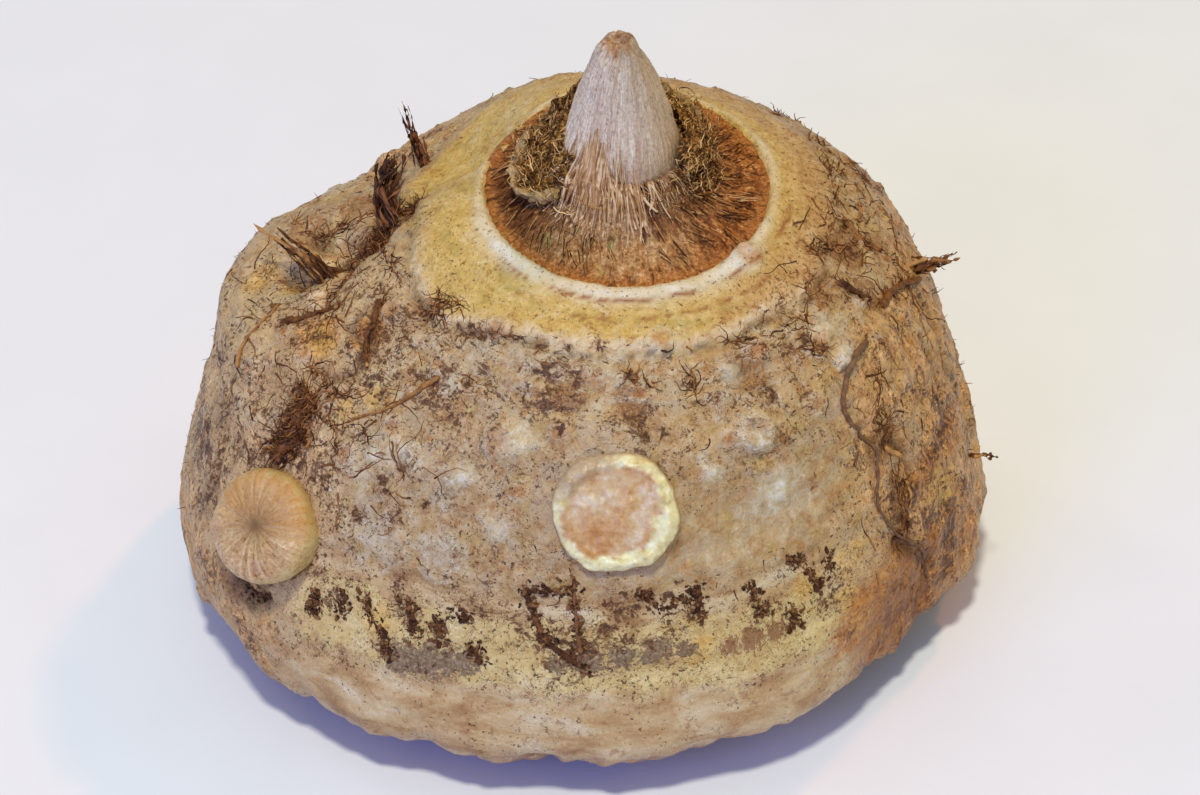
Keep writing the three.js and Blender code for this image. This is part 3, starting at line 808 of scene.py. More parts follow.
# Patches, each a place and how far it reaches in millimetres.
PATCHES = {
    "amber": [
        ((315, 8), 3), ((313, 2.5), 2.2), ((316, -2), 2.8), ((306, 8), 2), ((338, 6), 4), ((186, 38.5), 3),
        ((181, 33), 3), ((222, 32), 2.2), ((60, 8), 7), ((110, 12), 6), ((12, 4), 6), ((234, 33), 1.6),
        ((227, 36), 2.4), ((302, 30), 2.4), ((238, 3), 3), ((288, 3), 3), ((207, 38), 2.4),
    ],
    "rusty": [
        ((332, -3), 6), ((322, -5), 6), ((340, 0), 5.5), ((317, -1), 4), ((329, -8), 6), ((321, -11), 4),
        ((336, -8), 6), ((313, -4), 3.4), ((336, -14), 5), ((345, -6), 5), ((345, 12), 4), ((335, 12), 3),
        ((186, 48), 3), ((206, 38), 3.4), ((216, 44), 3), ((100, 0), 7), ((50, 4), 6),
    ],
    "flesh": [((181, 44.5), 2.8), ((196, 40), 1.5)],
    "stain": [
        ((165, 47), 4), ((180, 51), 3.5), ((190, 49), 3), ((172, 40), 3.4), ((200, 36), 4), ((213, 44), 3),
        ((216, 33), 4), ((214, 26), 4), ((206, 29), 4), ((224, 50), 2.4), ((231, 54), 2), ((345, 47), 3.4),
        ((352, 42), 3), ((338, 41), 3), ((330, 47), 3), ((326, 22), 3), ((328, 12), 3.4), ((326, 4), 3),
        ((310, 6), 2.6), ((298, 6), 2.4),
        ((283, 10), 3), ((264, 6), 3), ((268, 44), 2.6), ((280, 43), 2.6), ((305, 42), 2.8), ((201, 6), 4),
        ((212, 0), 5), ((196, 16), 4), ((40, 20), 6), ((75, 10), 6),
        ((120, 20), 6), ((150, 12), 6), ((100, 40), 5), ((20, 40), 5), ((60, 38), 5),
    ],
    "film": [
        ((246, 50), 4), ((256, 49.5), 4), ((266, 49.5), 3.4), ((276, 49), 3.4), ((286, 49), 3),
        ((240, 44), 2.4), ((226, 26.5), 1.6), ((200, 27), 1.6), ((233.5, 33.5), 2), ((240, 30), 2.6),
        ((247.5, 29), 2.4), ((245.5, 25.5), 2.4), ((200.5, 22.5), 1.6), ((230, 23), 4), ((236, 17), 5),
        ((247, 17), 4), ((255, 36.5), 1.4), ((301.5, 34), 1.6), ((294, 30.5), 1.4), ((291, 33), 1.2),
        ((335.5, 41.5), 1.3), ((329, 41.5), 1.6), ((317, 45), 1.4), ((324, 37), 2.4), ((303, 24), 4),
        ((20, 28), 4), ((80, 30), 5), ((130, 20), 5), ((150, 36), 3),
    ],
    "ash": [
        ((247, -1), 2.6), ((242, -2), 2.2), ((244.5, -1.5), 2.4), ((249.5, -0.7), 2.4), ((252, -0.5), 2.2),
        ((276, 2.5), 2.2), ((271, 1.5), 2.4), ((281, 3.5), 2.4), ((266.5, 1), 1.6), ((286, 3), 1.6),
    ],
    "scribble": [((296, 2), 2.4), ((292.5, 2), 1.8), ((300, 2.5), 2.2)],
    "soil": [
        ((262.5, 11), 1.1), ((264.5, 4.5), 1.6), ((266.5, 5.5), 1.6), ((268, 3), 1.9), ((271, 4), 1.7),
        ((271, 0.5), 1.3), ((274.5, 7), 1.5), ((277.5, 6), 1.5), ((280.5, 4.5), 1.4), ((282, 1.5), 1.1),
        ((274.5, 11.5), 1.5), ((278.5, 10.5), 1.2), ((283.5, 12.5), 1.2), ((287.5, 9), 1.3),
        ((285, 14.5), 1),
        ((277, 14), 1), ((280, 12.5), 1), ((269, 12.5), 0.9), ((239, -0.5), 1.4), ((249, 2), 1.2),
        ((253.5, 1), 1.3), ((247.5, 4.5), 1.2), ((254.5, 8.5), 1.1), ((243, 5), 1), ((231.5, 4), 1),
        ((227.5, 2), 0.9), ((221.5, -5), 0.8), ((217.5, -0.5), 1.6), ((297, 8.5), 1.1), ((298, 6.5), 1.3),
        ((308, 7.5), 1.2), ((308.5, 3.5), 1.2), ((302.5, 2.5), 1.2), ((313, -4), 1), ((306, 12), 1),
        ((249, 52.5), 1.0), ((260, 52), 0.9), ((266, 52), 0.8), ((281, 46.5), 1.2), ((293, 44), 1.2),
        ((262, 47.5), 1.5), ((268.5, 47), 1.5), ((301.5, 43.5), 1.4), ((266, 39), 1.2), ((307, 38.5), 1.3),
        ((314.5, 43), 1.4), ((274.5, 52), 1), ((240.5, 52), 1), ((281.5, 40), 1.1), ((282, 37), 1),
        ((285, 38), 1),
        ((245.5, 44), 1), ((239, 44), 1), ((259.5, 43), 1.1), ((254.5, 48), 0.8), ((305, 46.5), 0.9),
        ((319, 43), 1.2), ((329.5, 45.5), 1.3), ((340, 49.5), 1.2), ((344.5, 46), 1.6), ((351, 48), 1.4),
        ((329, 51), 0.8), ((327, 22), 1.4), ((331, 17.5), 1.1), ((328, 9), 1.4), ((325.5, 5.5), 1.2),
        ((216, 25), 2.2), ((214, 28), 2), ((213, 21), 1.6), ((183, 52), 2), ((228, 54), 1.0),
        ((235, 25), 1.2), ((239, 21), 1.4), ((232, 19), 1.3), ((243, 24), 1), ((237, 28), 1),
        ((200, 12), 1.2),
        ((206, 4), 1.6), ((197, 22), 1.2), ((40, 12), 1.8), ((75, 16), 1.8), ((120, 14), 2), ((145, 8), 1.8),
        ((20, 14), 1.6),
    ],
}


def fine_body_mesh():
    """The body's solid as one even fine mesh."""
    rough = bpy.data.meshes.new("tuber_body_fine")
    solid_body.to_mesh(rough)
    return evaluated_mesh(
        rough,
        ("REMESH", {"mode": "VOXEL", "voxel_size": 0.56 * MM}),
        ("SMOOTH", {"factor": 0.5, "iterations": 6}),
    )


def away_from_route(points, route):
    """Distance in millimetres from points to a broken line over the skin."""
    corners = [np.array(on_skin(place)[0]) / MM for place in route]
    nearest = np.full(len(points), 1e9)
    for start, end in zip(corners, corners[1:]):
        span = end - start
        t = np.clip((points - start) @ span / (span @ span), 0, 1)
        nearest = np.minimum(nearest, np.linalg.norm(points - (start + t[:, None] * span), axis=1))
    return nearest


# Rows of dropped roots' scars: elevation in degrees, how many, and their radius in millimetres.
SCAR_ROWS = [(46, 30, 0.8), (41, 28, 0.9), (35, 24, 1.0), (29, 18, 0.9), (22, 14, 0.8)]


def root_scars():
    """Places and sizes of the round scars where roots have dropped off, in loose rows."""
    rng = random.Random(11)
    scars = [
        ((302, 34.5), 2.0), ((255, 36.5), 2.0), ((289.5, 51.5), 1.4), ((248, 53.5), 1.3),
        ((322, 57.5), 1.7), ((218, 33), 1.3), ((320, 41), 1.4), ((308, 45), 1.2), ((217, 49), 1.5),
        ((282, 44), 1.1), ((297, 45), 1.0), ((226, 26.5), 1.4), ((233, 33.5), 1.3), ((200, 27), 1.4),
    ]
    for elevation, count, size in SCAR_ROWS:
        for i in range(count):
            angle = 360 * (i + rng.uniform(-0.35, 0.35)) / count
            place = (angle, elevation + rng.uniform(-2.2, 2.2))
            scars.append((place, size * rng.uniform(0.6, 1.3)))
    return scars


def body_fields(spots):
    """Where each point of the body lies, in degrees and millimetres, and the noises of its relief."""
    points = spots / MM
    from_heart = points - np.array(HEART) / MM
    off_bud = (CROWN_RIGHT * SCAR_SHIFT[0] + CROWN_BACK * SCAR_SHIFT[1]) * MM
    rho, phi, rise = crown_coordinates(spots - off_bud)
    down = np.degrees(np.arctan2(rho, rise + (CROWN.z / MM - 20))) * 0.75
    flow = np.column_stack([40 * np.cos(np.radians(phi)), 40 * np.sin(np.radians(phi)), down])
    return SimpleNamespace(
        points=points, from_heart=from_heart, height=points[:, 2],
        angle=np.degrees(np.arctan2(from_heart[:, 1], from_heart[:, 0])) % 360,
        rho=rho, phi=phi, rise=rise, flow=flow,
        wobble=ripple(points, 0.12, 3, 1),
        medium=ripple(points, 0.32, 4, 2),
        small=ripple(points, 0.95, 3, 3),
        upright=ripple(flow, 0.5, 3, 4, stretch=(1, 1, 0.2)),
        level=ripple(flow, 0.42, 3, 5, stretch=(0.16, 0.16, 1.2)),
        cell=pits(points, 0.42, 6),
    )


def crown_zones(at):
    """The yellow crown, the disc of the scar, the pale rim round it, and the step and stripes."""
    on_crown = (at.rise > -14) & (at.rho < 34)
    edge = at.rho + 0.8 * at.wobble + 0.3 * at.small
    edge -= 2.8 * sector(at.phi, 212, 16, 26) + 4.5 * sector(at.phi, 140, 28, 24)
    front = sector(at.phi, 262, 66, 40)
    soft_edge = edge + 0.8 * at.wobble + 1.2 * at.medium
    soft = np.where(on_crown, 1 - smooth(19.5, 24.5, soft_edge), 0)
    sharp = np.where(on_crown, 1 - smooth(22.3, 23.4, edge + 0.4 * at.medium), 0)
    at.on_crown, at.edge, at.crown_front = on_crown, edge, front
    at.crown = front * sharp + (1 - front) * soft
    at.disc = np.where(on_crown, 1 - smooth(14.4, 15.0, at.rho), 0)
    at.rim = np.where(on_crown, hump(at.rho, 15.8 + 0.5 * front, 0.4 + 0.85 * front), 0)
    at.rim *= 0.8 + 0.2 * at.medium
    at.terrace = np.where(on_crown, hump(edge, 23.2, 0.5), 0) * (0.35 + 0.65 * front)
    inner = hump(at.rho, 17.4 + 0.3 * at.wobble + 0.15 * at.small, 0.2) * smooth(-0.5, 0.1, at.medium)
    outer = hump(at.rho, 19.4 + 0.5 * at.wobble + 0.2 * at.small, 0.2) * smooth(-0.1, 0.3, at.small)
    at.stripe = 1.4 * sector(at.phi, 292, 66, 30) * np.where(on_crown, 1, 0) * (inner + 0.7 * outer)


def flank_zones(at):
    """The cream band of the lower front, and the fibrous sides and back."""
    at.front = sector(at.angle, 270, 47, 14)
    at.band = at.front * (1 - smooth(27.4, 29.2, at.height + 1.6 * at.wobble + 0.9 * at.medium))
    right = sector(at.angle, 15, 55, 18) * (1 - smooth(44, 50, at.height))
    left = sector(at.angle, 182, 42, 18) * (1 - smooth(34, 42, at.height))
    behind = sector(at.angle, 95, 50, 20) * (1 - smooth(44, 50, at.height))
    at.side = np.clip(right + 0.75 * left + 0.8 * behind, 0, 1) * (1 - at.band)
    at.rough = (1 - at.crown) * (1 - 0.8 * at.band) * (1 - at.disc)


def grown_relief(at):
    """How far the skin stands out, in millimetres: wrinkles, pits, rings, folds and lobes."""
    height, level, medium, small = at.height, at.level, at.medium, at.small
    push = at.rough * (0.26 * medium + 0.13 * small)
    push += at.side * 0.36 * at.upright
    push += (1 - at.crown) * 0.2 * level * smooth(8, 16, height)
    push -= at.rough * 0.22 * (1 - smooth(0.08, 0.3, at.cell))
    push += at.crown * (0.07 * level + 0.12 * medium + 0.05 * small)
    push += 0.2 * at.rim - np.where(at.on_crown, 0.14 * hump(at.rho, 17.2, 0.35), 0)
    push -= 0.4 * at.terrace - np.where(at.on_crown, 0.25 * hump(at.edge, 21.6, 1.0), 0)
    push -= np.where(at.on_crown, 0.15 * hump(at.edge, 26.2 + 0.8 * at.wobble, 0.4), 0)
    push += 0.35 * (1 - smooth(5, 12, height)) * smooth(0.5, 2, height)
    ridges = 0.3 * hump(height, 30.5 + 1.2 * at.wobble, 1.3) + 0.2 * hump(height, 17.6 + at.wobble, 1.2)
    push += at.front * ridges
    push -= at.front * 0.14 * hump(height, 15.8 + at.wobble, 0.8) * smooth(-0.2, 0.3, medium)
    fold = np.sin(np.radians(at.angle) * 41 + 6 * at.wobble)
    push += 0.22 * fold * smooth(0.3, 2, height) * (1 - smooth(6, 11, height))
    push += 0.24 * at.upright * (1 - smooth(7, 13, height)) * smooth(0.2, 2, height)
    # How far the relief sinks, which sets the painted shade of deep recesses.
    at.deep = np.clip(-push / 0.9 - 0.35, 0, 1) * at.rough * smooth(2, 6, height)
    for middle, half, level_at, tall, much in BULGES:
        push += much * hump(at.angle, middle, half) * hump(height, level_at, tall)
    return push


def away_from(at, place):
    """Distance in millimetres from the body's points to a place on its skin."""
    return np.linalg.norm(at.points - np.array(on_skin(place)[0]) / MM, axis=1)


def placed_marks(at, push):
    """Furrows, hollows, glossy swellings and patches; changes the relief and gives their zones."""
    # Painted shade, darkening the crown's step and each furrow by its given darkness.
    hollow = at.terrace * 0.8 * smooth(-0.2, 0.35, at.medium + at.small)
    for route, width, depth, dark in FURROWS:
        reach = width * (1 + 0.5 * at.small + 0.3 * at.medium)
        line = hump(away_from_route(at.points, route), 0, reach)
        push -= depth * line
        hollow = np.maximum(hollow, dark * line)
    for place, reach, depth in HOLLOWS:
        push -= depth * hump(away_from(at, place), 0, reach)
    ragged = 1 + 0.25 * at.medium
    nothing = np.zeros(len(at.points))
    zones = {"hollow": hollow, "gloss_and_highlight": nothing}
    # Each swelling also gets a painted pale highlight in the finish.
    for place, reach, tall in BLOBS:
        blob = hump(away_from(at, place), 0, reach * ragged)
        push += tall * blob
        zones["gloss_and_highlight"] = np.maximum(zones["gloss_and_highlight"], blob)
    for name, places in PATCHES.items():
        zones[name] = nothing
        for place, reach in places:
            zones[name] = np.maximum(zones[name], hump(away_from(at, place), 0, reach * ragged))
    push += 0.1 * zones["film"] * at.rough - 0.08 * zones["soil"] + 0.12 * zones["ash"]
    return zones


def dropped_roots(at, push):
    """Round scars with a raised ring and a sunk scab, clear of the snapped offset."""
    scab = np.zeros(len(at.points))
    ring = np.zeros(len(at.points))
    for place, size in root_scars():
        if abs(place[0] - SNAPPED_PLACE[0]) > 12 or place[1] > 38:
            away = away_from(at, place) / size
            push += 0.26 * size * (hump(away, 0.75, 0.3) + 0.6 * hump(away, 0, 0.9))
            push -= 0.25 * hump(away, 0, 0.28)
            scab = np.maximum(scab, np.maximum(hump(away, 0, 0.3), 0.7 * hump(away, 0.5, 0.16)))
            ring = np.maximum(ring, hump(away, 0.84, 0.2))
    return {"scab": scab, "ring": ring}


def pushed_out(at, ways, push):
    """The body's points moved by the relief, with the lower right foot drawn in; none below 0."""
    push = push * (1 - at.disc) * smooth(0.0, 0.5, at.height)
    push -= np.where(at.on_crown, 0.6 * (smooth(12.2, 13.2, at.rho) - smooth(14.9, 15.3, at.rho)), 0)
    moved = at.points + ways * np.clip(push, -2.8, 1.4)[:, None]
    moved[:, 2] = np.maximum(moved[:, 2], 0)
    reach = np.hypot(at.from_heart[:, 0], at.from_heart[:, 1])
    inward = 4.2 * hump(at.angle, 329, 15) * (1 - smooth(10, 22, at.height)) * smooth(14, 30, reach)
    moved[:, :2] -= at.from_heart[:, :2] * (inward / np.maximum(reach, 1))[:, None]
    return moved


def stroke_zone(at, rusty):
    """Where the dark strokes and specks of the skin are thickest."""
    shoulder = sector(at.angle, 207, 26, 20) * smooth(18, 26, at.height)
    strokes = 0.4 + 0.3 * shoulder + 0.3 * rusty + 0.2 * at.medium + 0.25 * at.side
    strokes += at.front * (0.2 * hump(at.height, 45, 7) + 0.25 * hump(at.height, 24, 4))
    strokes -= 0.55 * hump(at.height, 34, 4) * sector(at.angle, 298, 18, 12)
    strokes *= (1 - 0.8 * at.crown) * (1 - 0.55 * at.band * (1 - smooth(14, 18, at.height)))
    return np.clip(strokes, 0, 1)


def skin_zones(at, zones):
    """The zones that follow from a point's angle, height and distance from the bud."""
    angle, height = at.angle, at.height
    # Painted shade in hollows, cracks and deep recesses, kept off amber patches and bare flesh.
    open_hollow = np.maximum(zones["hollow"], at.deep * (1 - zones["amber"])) * (1 - zones["flesh"])
    low_right = sector(angle, 324, 11, 10) * (1 - smooth(19, 25, height + 2 * at.medium))
    return {
        "crown": at.crown, "band": at.band, "side": at.side, "stripe": np.clip(at.stripe, 0, 1),
        "rim": at.rim * (0.5 + 0.5 * at.crown_front),
        "lip": np.where(at.on_crown, hump(at.edge, 22.3, 0.8), 0) * at.crown * at.crown_front,
        "tan": sector(at.phi, 25, 85, 35) * smooth(15, 21, at.rho),
        "hollow": open_hollow,
        "strokes": stroke_zone(at, zones["rusty"]),
        "belt": sector(angle, 275, 58, 16) * hump(height, 48.5, 5.5) * (1 - at.crown),
        "butter": sector(angle, 268, 44, 12) * hump(height, 21.5, 5),
        "sunny": sector(angle, 200, 28, 20) * (1 - smooth(48, 54, height)) * smooth(15, 24, height),
        "ochre": low_right * smooth(3, 9, height),
        "skirt": 1 - smooth(4.5, 10, height + 1.5 * at.medium),
    }


def shape_body(mesh):
    """Gives the fine mesh its relief, and its zones for the finish."""
    at = body_fields(vertex_array(mesh))
    crown_zones(at)
    flank_zones(at)
    push = grown_relief(at)
    zones = placed_marks(at, push)
    zones.update(dropped_roots(at, push))
    zones["halo"] = hump(away_from(at, SNAPPED_PLACE), 7.4, 1.4) * (0.8 + 0.4 * at.medium)
    push = push * (1 - 0.6 * zones["halo"]) + 0.3 * zones["halo"]
    move_vertices(mesh, pushed_out(at, normal_array(mesh), push) * MM)
    zones.update(skin_zones(at, zones))
    for name, values in zones.items():
        store(mesh, name, values)
    store_vectors(mesh, "flow", at.flow)


skin = skin_finish()
body_mesh = fine_body_mesh()
shape_body(body_mesh)
as_piece("tuber_skin", body_mesh, skin, "tuber_skin", "tuber_body")
visible_skin = surface_of(body_mesh)


# ------------------------------------------------------------------ leaf scar and bud

def ray_vectors(mesh, to_local, around, along):
    """Keeps for each vertex a vector that changes fast round an axis and slowly along it, which
    draws fibres; around is the fibres' number per radian and along their number per millimetre."""
    spots = np.array([to_local @ vertex.co for vertex in mesh.vertices]) / MM
    rho, turn = round_z(spots)
    reach = np.hypot(rho, spots[:, 2])
    rays = np.column_stack([np.cos(turn) * around, np.sin(turn) * around, reach * along])
    store_vectors(mesh, "ray", rays)


crown_place = Matrix.Translation(CROWN) @ crown_turn.to_4x4()
# The scar's profile from its rim to the bud: radius and height about the bud's axis.
SCAR_SLOPE = [(15.5, -4.6), (15.4, -3.95), (15.0, -3.72), (14.3, -3.6), (12.6, -3.1), (10.6, -2.3),
              (9, -1.15), (8, -0.1), (7.4, 0.6), (6.9, 1.1), (6.3, 1.25), (5.4, 1.0)]


def scar_height(rho):
    """The height of the scar at a radius about the bud's axis."""
    slope = SCAR_SLOPE[-2:1:-1]
    return float(np.interp(rho, [radius for radius, _ in slope], [height for _, height in slope]))


def leaf_scar():
    """The scar of the old leaf stalk, which climbs as a fibrous skirt to the bud."""
    mesh, points, rho, turn = round_piece("leaf_scar", SCAR_SLOPE, 0.19, 400)
    phi = np.degrees(turn) % 360
    bend = np.radians(phi + 5 * np.sin(np.radians(phi) * 2) + 1.2 * rho)
    rays = np.column_stack([np.cos(bend), np.sin(bend), rho * 0.012])
    strong = ripple(rays, 14, 4, 21)
    thin = ripple(rays, 40, 3, 22)
    lump = ripple(points, 0.45, 3, 23)
    crumb = ripple(points, 1.6, 3, 24)
    inner = 1 - smooth(7.5, 13.5, rho)
    front = sector(phi, 262, 42, 40)
    calm = smooth(13.6, 14.7, rho)

    push = (0.3 * strong + 0.2 * thin + 0.22 * crumb) * (1 - 0.8 * calm) + 0.22 * lump
    push += 0.4 * hump(phi, 255, 24) * hump(rho, 8.6, 1.6)
    outward = np.column_stack([points[:, 0] / rho, points[:, 1] / rho, np.zeros(len(points))])
    slope = np.clip((rho - 6) / 8, 0, 1)[:, None]
    moved = points + (outward * (1 - slope) + np.array([0, 0, 1]) * slope) * push[:, None]
    moved[:, 2] += smooth(7.6, 6.6, rho) * (0.2 * front + 0.4 * strong - 0.1)
    outer_rim = rho > 15.35
    moved[outer_rim] = points[outer_rim]
    moved[:, :2] += smooth(8, 12, rho)[:, None] * np.array(SCAR_SHIFT)
    out_of_round = 1 + 0.012 * np.sin(np.radians(phi) * 3) + 0.01 * np.sin(np.radians(phi) * 7)
    moved[:, :2] *= out_of_round[:, None]
    move_vertices(mesh, moved * MM)
    mesh.transform(crown_place)
    ray_vectors(mesh, crown_place.inverted(), 22, 0.5)

    left = sector(phi, 165, 70, 40)
    right = sector(phi, 20, 75, 40)
    pale = front * (1 - smooth(8, 11.5, rho + 1.5 * lump)) + 0.2 * inner
    wedge = hump(phi + 1.5 * lump, 285, 13) * (1 - smooth(8.6, 10.6, rho + 0.8 * strong))
    store(mesh, "edge", smooth(13.5, 14.5, rho + 0.4 * lump))
    store(mesh, "light", np.clip(pale - 1.2 * wedge, 0, 1))
    store(mesh, "wedge", np.clip(1.3 * wedge, 0, 1))
    store(mesh, "dull", np.clip(front * hump(rho, 11.5, 2.6), 0, 1))
    store(mesh, "shade", np.clip(0.7 * left * (1 - calm) + 0.5 * right * inner, 0, 1))
    as_piece("leaf_scar", mesh, scar_finish(), "old_sheath")


BUD_SHIFT = -0.3  # how far the bud stands to the left, in millimetres
BUD_LEAN = 0.0025  # and how fast it leans further with the square of its height
BUD_SHAPE = [(0, 0.3), (5.9, 0.3), (6.05, 1.3), (5.85, 3.4), (5.25, 6.4), (4.5, 9.4), (3.65, 12),
             (2.85, 14.1), (2.3, 15.4), (1.7, 16.3), (1.15, 16.9), (0.75, 17.0), (0.4, 16.7), (0, 16.6)]


def bud_flare(degrees, high):
    """How far the bud's old scale swells out at its left front, low down."""
    return 1.2 * sector(degrees, 216, 30, 50) * (1 - smooth(0.6, 8, high))


def bud_radius(height):
    """The bud's radius at a height on its side."""
    side = BUD_SHAPE[1:11]
    return float(np.interp(height, [high for _, high in side], [radius for radius, _ in side]))


def crown_bud():
    """The pointed bud, fluted with fine upright fibres and torn at its tip."""
    mesh, points, rho, turn = round_piece("crown_bud", BUD_SHAPE, 0.2, 280)
    high = points[:, 2]
    degrees = np.degrees(turn) % 360
    sway = turn + 0.05 * np.sin(high * 0.9 + 2 * turn) + 0.02 * high
    rays = np.column_stack([np.cos(sway), np.sin(sway), high * 0.02])
    flute = ripple(rays, 8, 4, 31)
    thread = ripple(rays, 30, 3, 32)
    bulge = ripple(points, 0.16, 2, 33)
    tear = ripple(np.column_stack([np.cos(turn), np.sin(turn), 0 * turn]), 1.6, 3, 34)

    push = 0.16 * flute + 0.12 * thread + 0.22 * bulge * smooth(0.5, 4, high)
    push = (push + bud_flare(degrees, high)) * smooth(0, 1.2, rho)
    outward = np.column_stack([np.cos(turn), np.sin(turn), np.zeros(len(points))])
    moved = points + outward * push[:, None]
    near_tip = smooth(14.8, 16.4, high) * smooth(0.4, 1.0, rho)
    moved[:, 2] += near_tip * (0.4 * tear + 0.4 * np.cos(turn - 0.9) * rho) - 0.2 * smooth(12, 16, high)
    moved[:, 0] += BUD_SHIFT - BUD_LEAN * np.maximum(high, 0) ** 2
    move_vertices(mesh, moved * MM)
    mesh.transform(crown_place)
    ray_vectors(mesh, crown_place.inverted(), 20, 0.3)

    tan = 0.6 * (1 - smooth(1.5, 8, high + 2 * flute)) + 0.7 * sector(degrees, 350, 38, 50) + 0.3 * flute
    store(mesh, "tan", np.clip(tan, 0, 1))
    store(mesh, "tip", smooth(16.1, 16.7, high + 0.6 * tear + 0.5 * flute + 0.3 * np.cos(turn - 0.9)))
    as_piece("crown_bud_scale", mesh, bud_finish(), "bud_skin", "crown_bud")


leaf_scar()
crown_bud()


# ------------------------------------------------------------------ strands

def any_way(rng):
    """A random vector that favours no direction."""
    return Vector((rng.gauss(0, 1), rng.gauss(0, 1), rng.gauss(0, 1)))


def along_skin(way, normal):
    """The part of a way that lies in the skin, of length 1."""
    return (way - normal * way.dot(normal)).normalized()


def tapered(thick, thin, t):
    """A radius t of the way from thick to thin."""
    return thick + (thin - thick) * t


def thin_end(line, end, share):
    """Makes a strand's first or last knot thinner."""
    point, radius = line[end]
    line[end] = (point, radius * share)


def crawl(rng, start, way, steps, step, wander, thick, thin, proud=0.45, rise=0.0, surface=None):
    """A strand that creeps over the skin from a point, with a wandering heading; it stands so many
    of its radii proud, and its tip may rise from the skin."""
    point, heading = start.copy(), way.copy()
    line = []
    for i in range(steps):
        near, normal, _, _ = (surface or visible_skin).find_nearest(point)
        heading = along_skin(heading, normal)
        heading.rotate(Matrix.Rotation(rng.gauss(0, wander), 3, normal))
        t = i / (steps - 1)
        radius = tapered(thick, thin, t)
        line.append((near + normal * (proud * radius + rise * t * t) * MM, radius * rng.uniform(0.8, 1.15)))
        point = near + heading * step * MM
    return line


def scar_strand(rng, degrees, start, end, thick, bow=5, lift=0.05, count=8):
    """A strand that lies down the scar from one radius out to another."""
    sway = rng.uniform(-bow, bow)
    line = []
    for i in range(count):
        t = i / (count - 1)
        rho = start + (end - start) * t
        height = scar_height(rho) + lift + 0.15 * math.sin(math.pi * t)
        line.append((in_crown(rho, degrees + sway * t * t + 6 * t, height), thick * (1 - 0.6 * t)))
    return line


def foot_strand(rng, degrees, top, end, thick):
    """A strand that runs down the bud from a height and out over the scar to a radius."""
    bow, wave, start = rng.gauss(0, 7), rng.uniform(0.3, 1.6), rng.uniform(0, 6)
    knots, turning, foot = 14, 0.6, 1.9
    line = []
    for i in range(knots):
        t = i / (knots - 1)
        height = top + (foot - top) * min(t / turning, 1)
        rho = bud_radius(height) + bud_flare(degrees, height) + 0.14 + 0.5 * smooth(0.4, turning, t)
        if t > turning:
            rho += (end - rho) * (t - turning) / 0.4
            height = max(scar_height(rho) + 0.25, foot - 3.4 * (t - turning) * (rho - 5.6))
        point = in_crown(rho, degrees + bow * t * t + wave * math.sin(start + 7 * t), height)
        point += CROWN_RIGHT * BUD_SHIFT * (1 - smooth(0.5, 0.9, t)) * MM
        line.append((point, thick * min(1, 0.3 + 2 * t) * (1 - 0.45 * t)))
    return line


def scar_strands():
    """Loose fibres of the scar, and light strands that run down the bud's foot in front."""
    rng = random.Random(5)
    dark, orange, light = [], [], []
    for _ in range(520):
        start = rng.uniform(7, 12.6)
        end = min(start + rng.uniform(1, 4.5), 14.4)
        kind = rng.choice((dark, dark, orange))
        thick = rng.uniform(0.04, 0.11)
        kind.append(scar_strand(rng, rng.uniform(0, 360), start, end, thick, 2.5, 0.3 * thick))
    for _ in range(240):
        degrees = rng.gauss(248, 18)
        top = rng.triangular(1.8, 9.4, 6) * max(0.25, 1 - abs(degrees - 236) / 44)
        light.append(foot_strand(rng, degrees, max(1, top), rng.uniform(8, 10.6), rng.uniform(0.11, 0.24)))
    for _ in range(28):
        middle, top, end = rng.gauss(246, 20), rng.triangular(1.4, 8.4, 4), rng.uniform(8.6, 11.6)
        for _ in range(rng.randint(2, 6)):
            degrees, high = middle + rng.gauss(0, 1.5), max(1.2, top + rng.gauss(0, 0.9))
            reach, thick = end + rng.gauss(0, 1.1), rng.uniform(0.035, 0.08)
            light.append(foot_strand(rng, degrees, high, reach, thick))
    for _ in range(70):
        degrees, high = rng.gauss(302, 14), rng.uniform(0.8, 2.4)
        reach, thick = rng.uniform(7.4, 9), rng.uniform(0.03, 0.06)
        light.append(foot_strand(rng, degrees, high, reach, thick))
    as_piece("scar_fibres", strands("scar_fibres", dark), fibre_finish("scar_fibre"), "old_sheath")
    as_piece("orange_fibres", strands("orange_fibres", orange), fibre_finish("orange_fibre"), "old_sheath")
    as_piece("pale_strands", strands("pale_strands", light, 1), fibre_finish("pale_fibre", 0.4),
             "old_sheath", "sheath_remnant_front")


SHEATH_FOOT = 6.6  # radius of the old sheath's foot, round the bud
# How low the sheath's bowl lies: radius and height about the bud's axis.
SHEATH_BOWL = [(6.6, 3.6), (7.3, 2.3), (8, 0.8), (9, -0.6), (10.6, -2.1), (12.6, -3.1), (14, -3.5)]


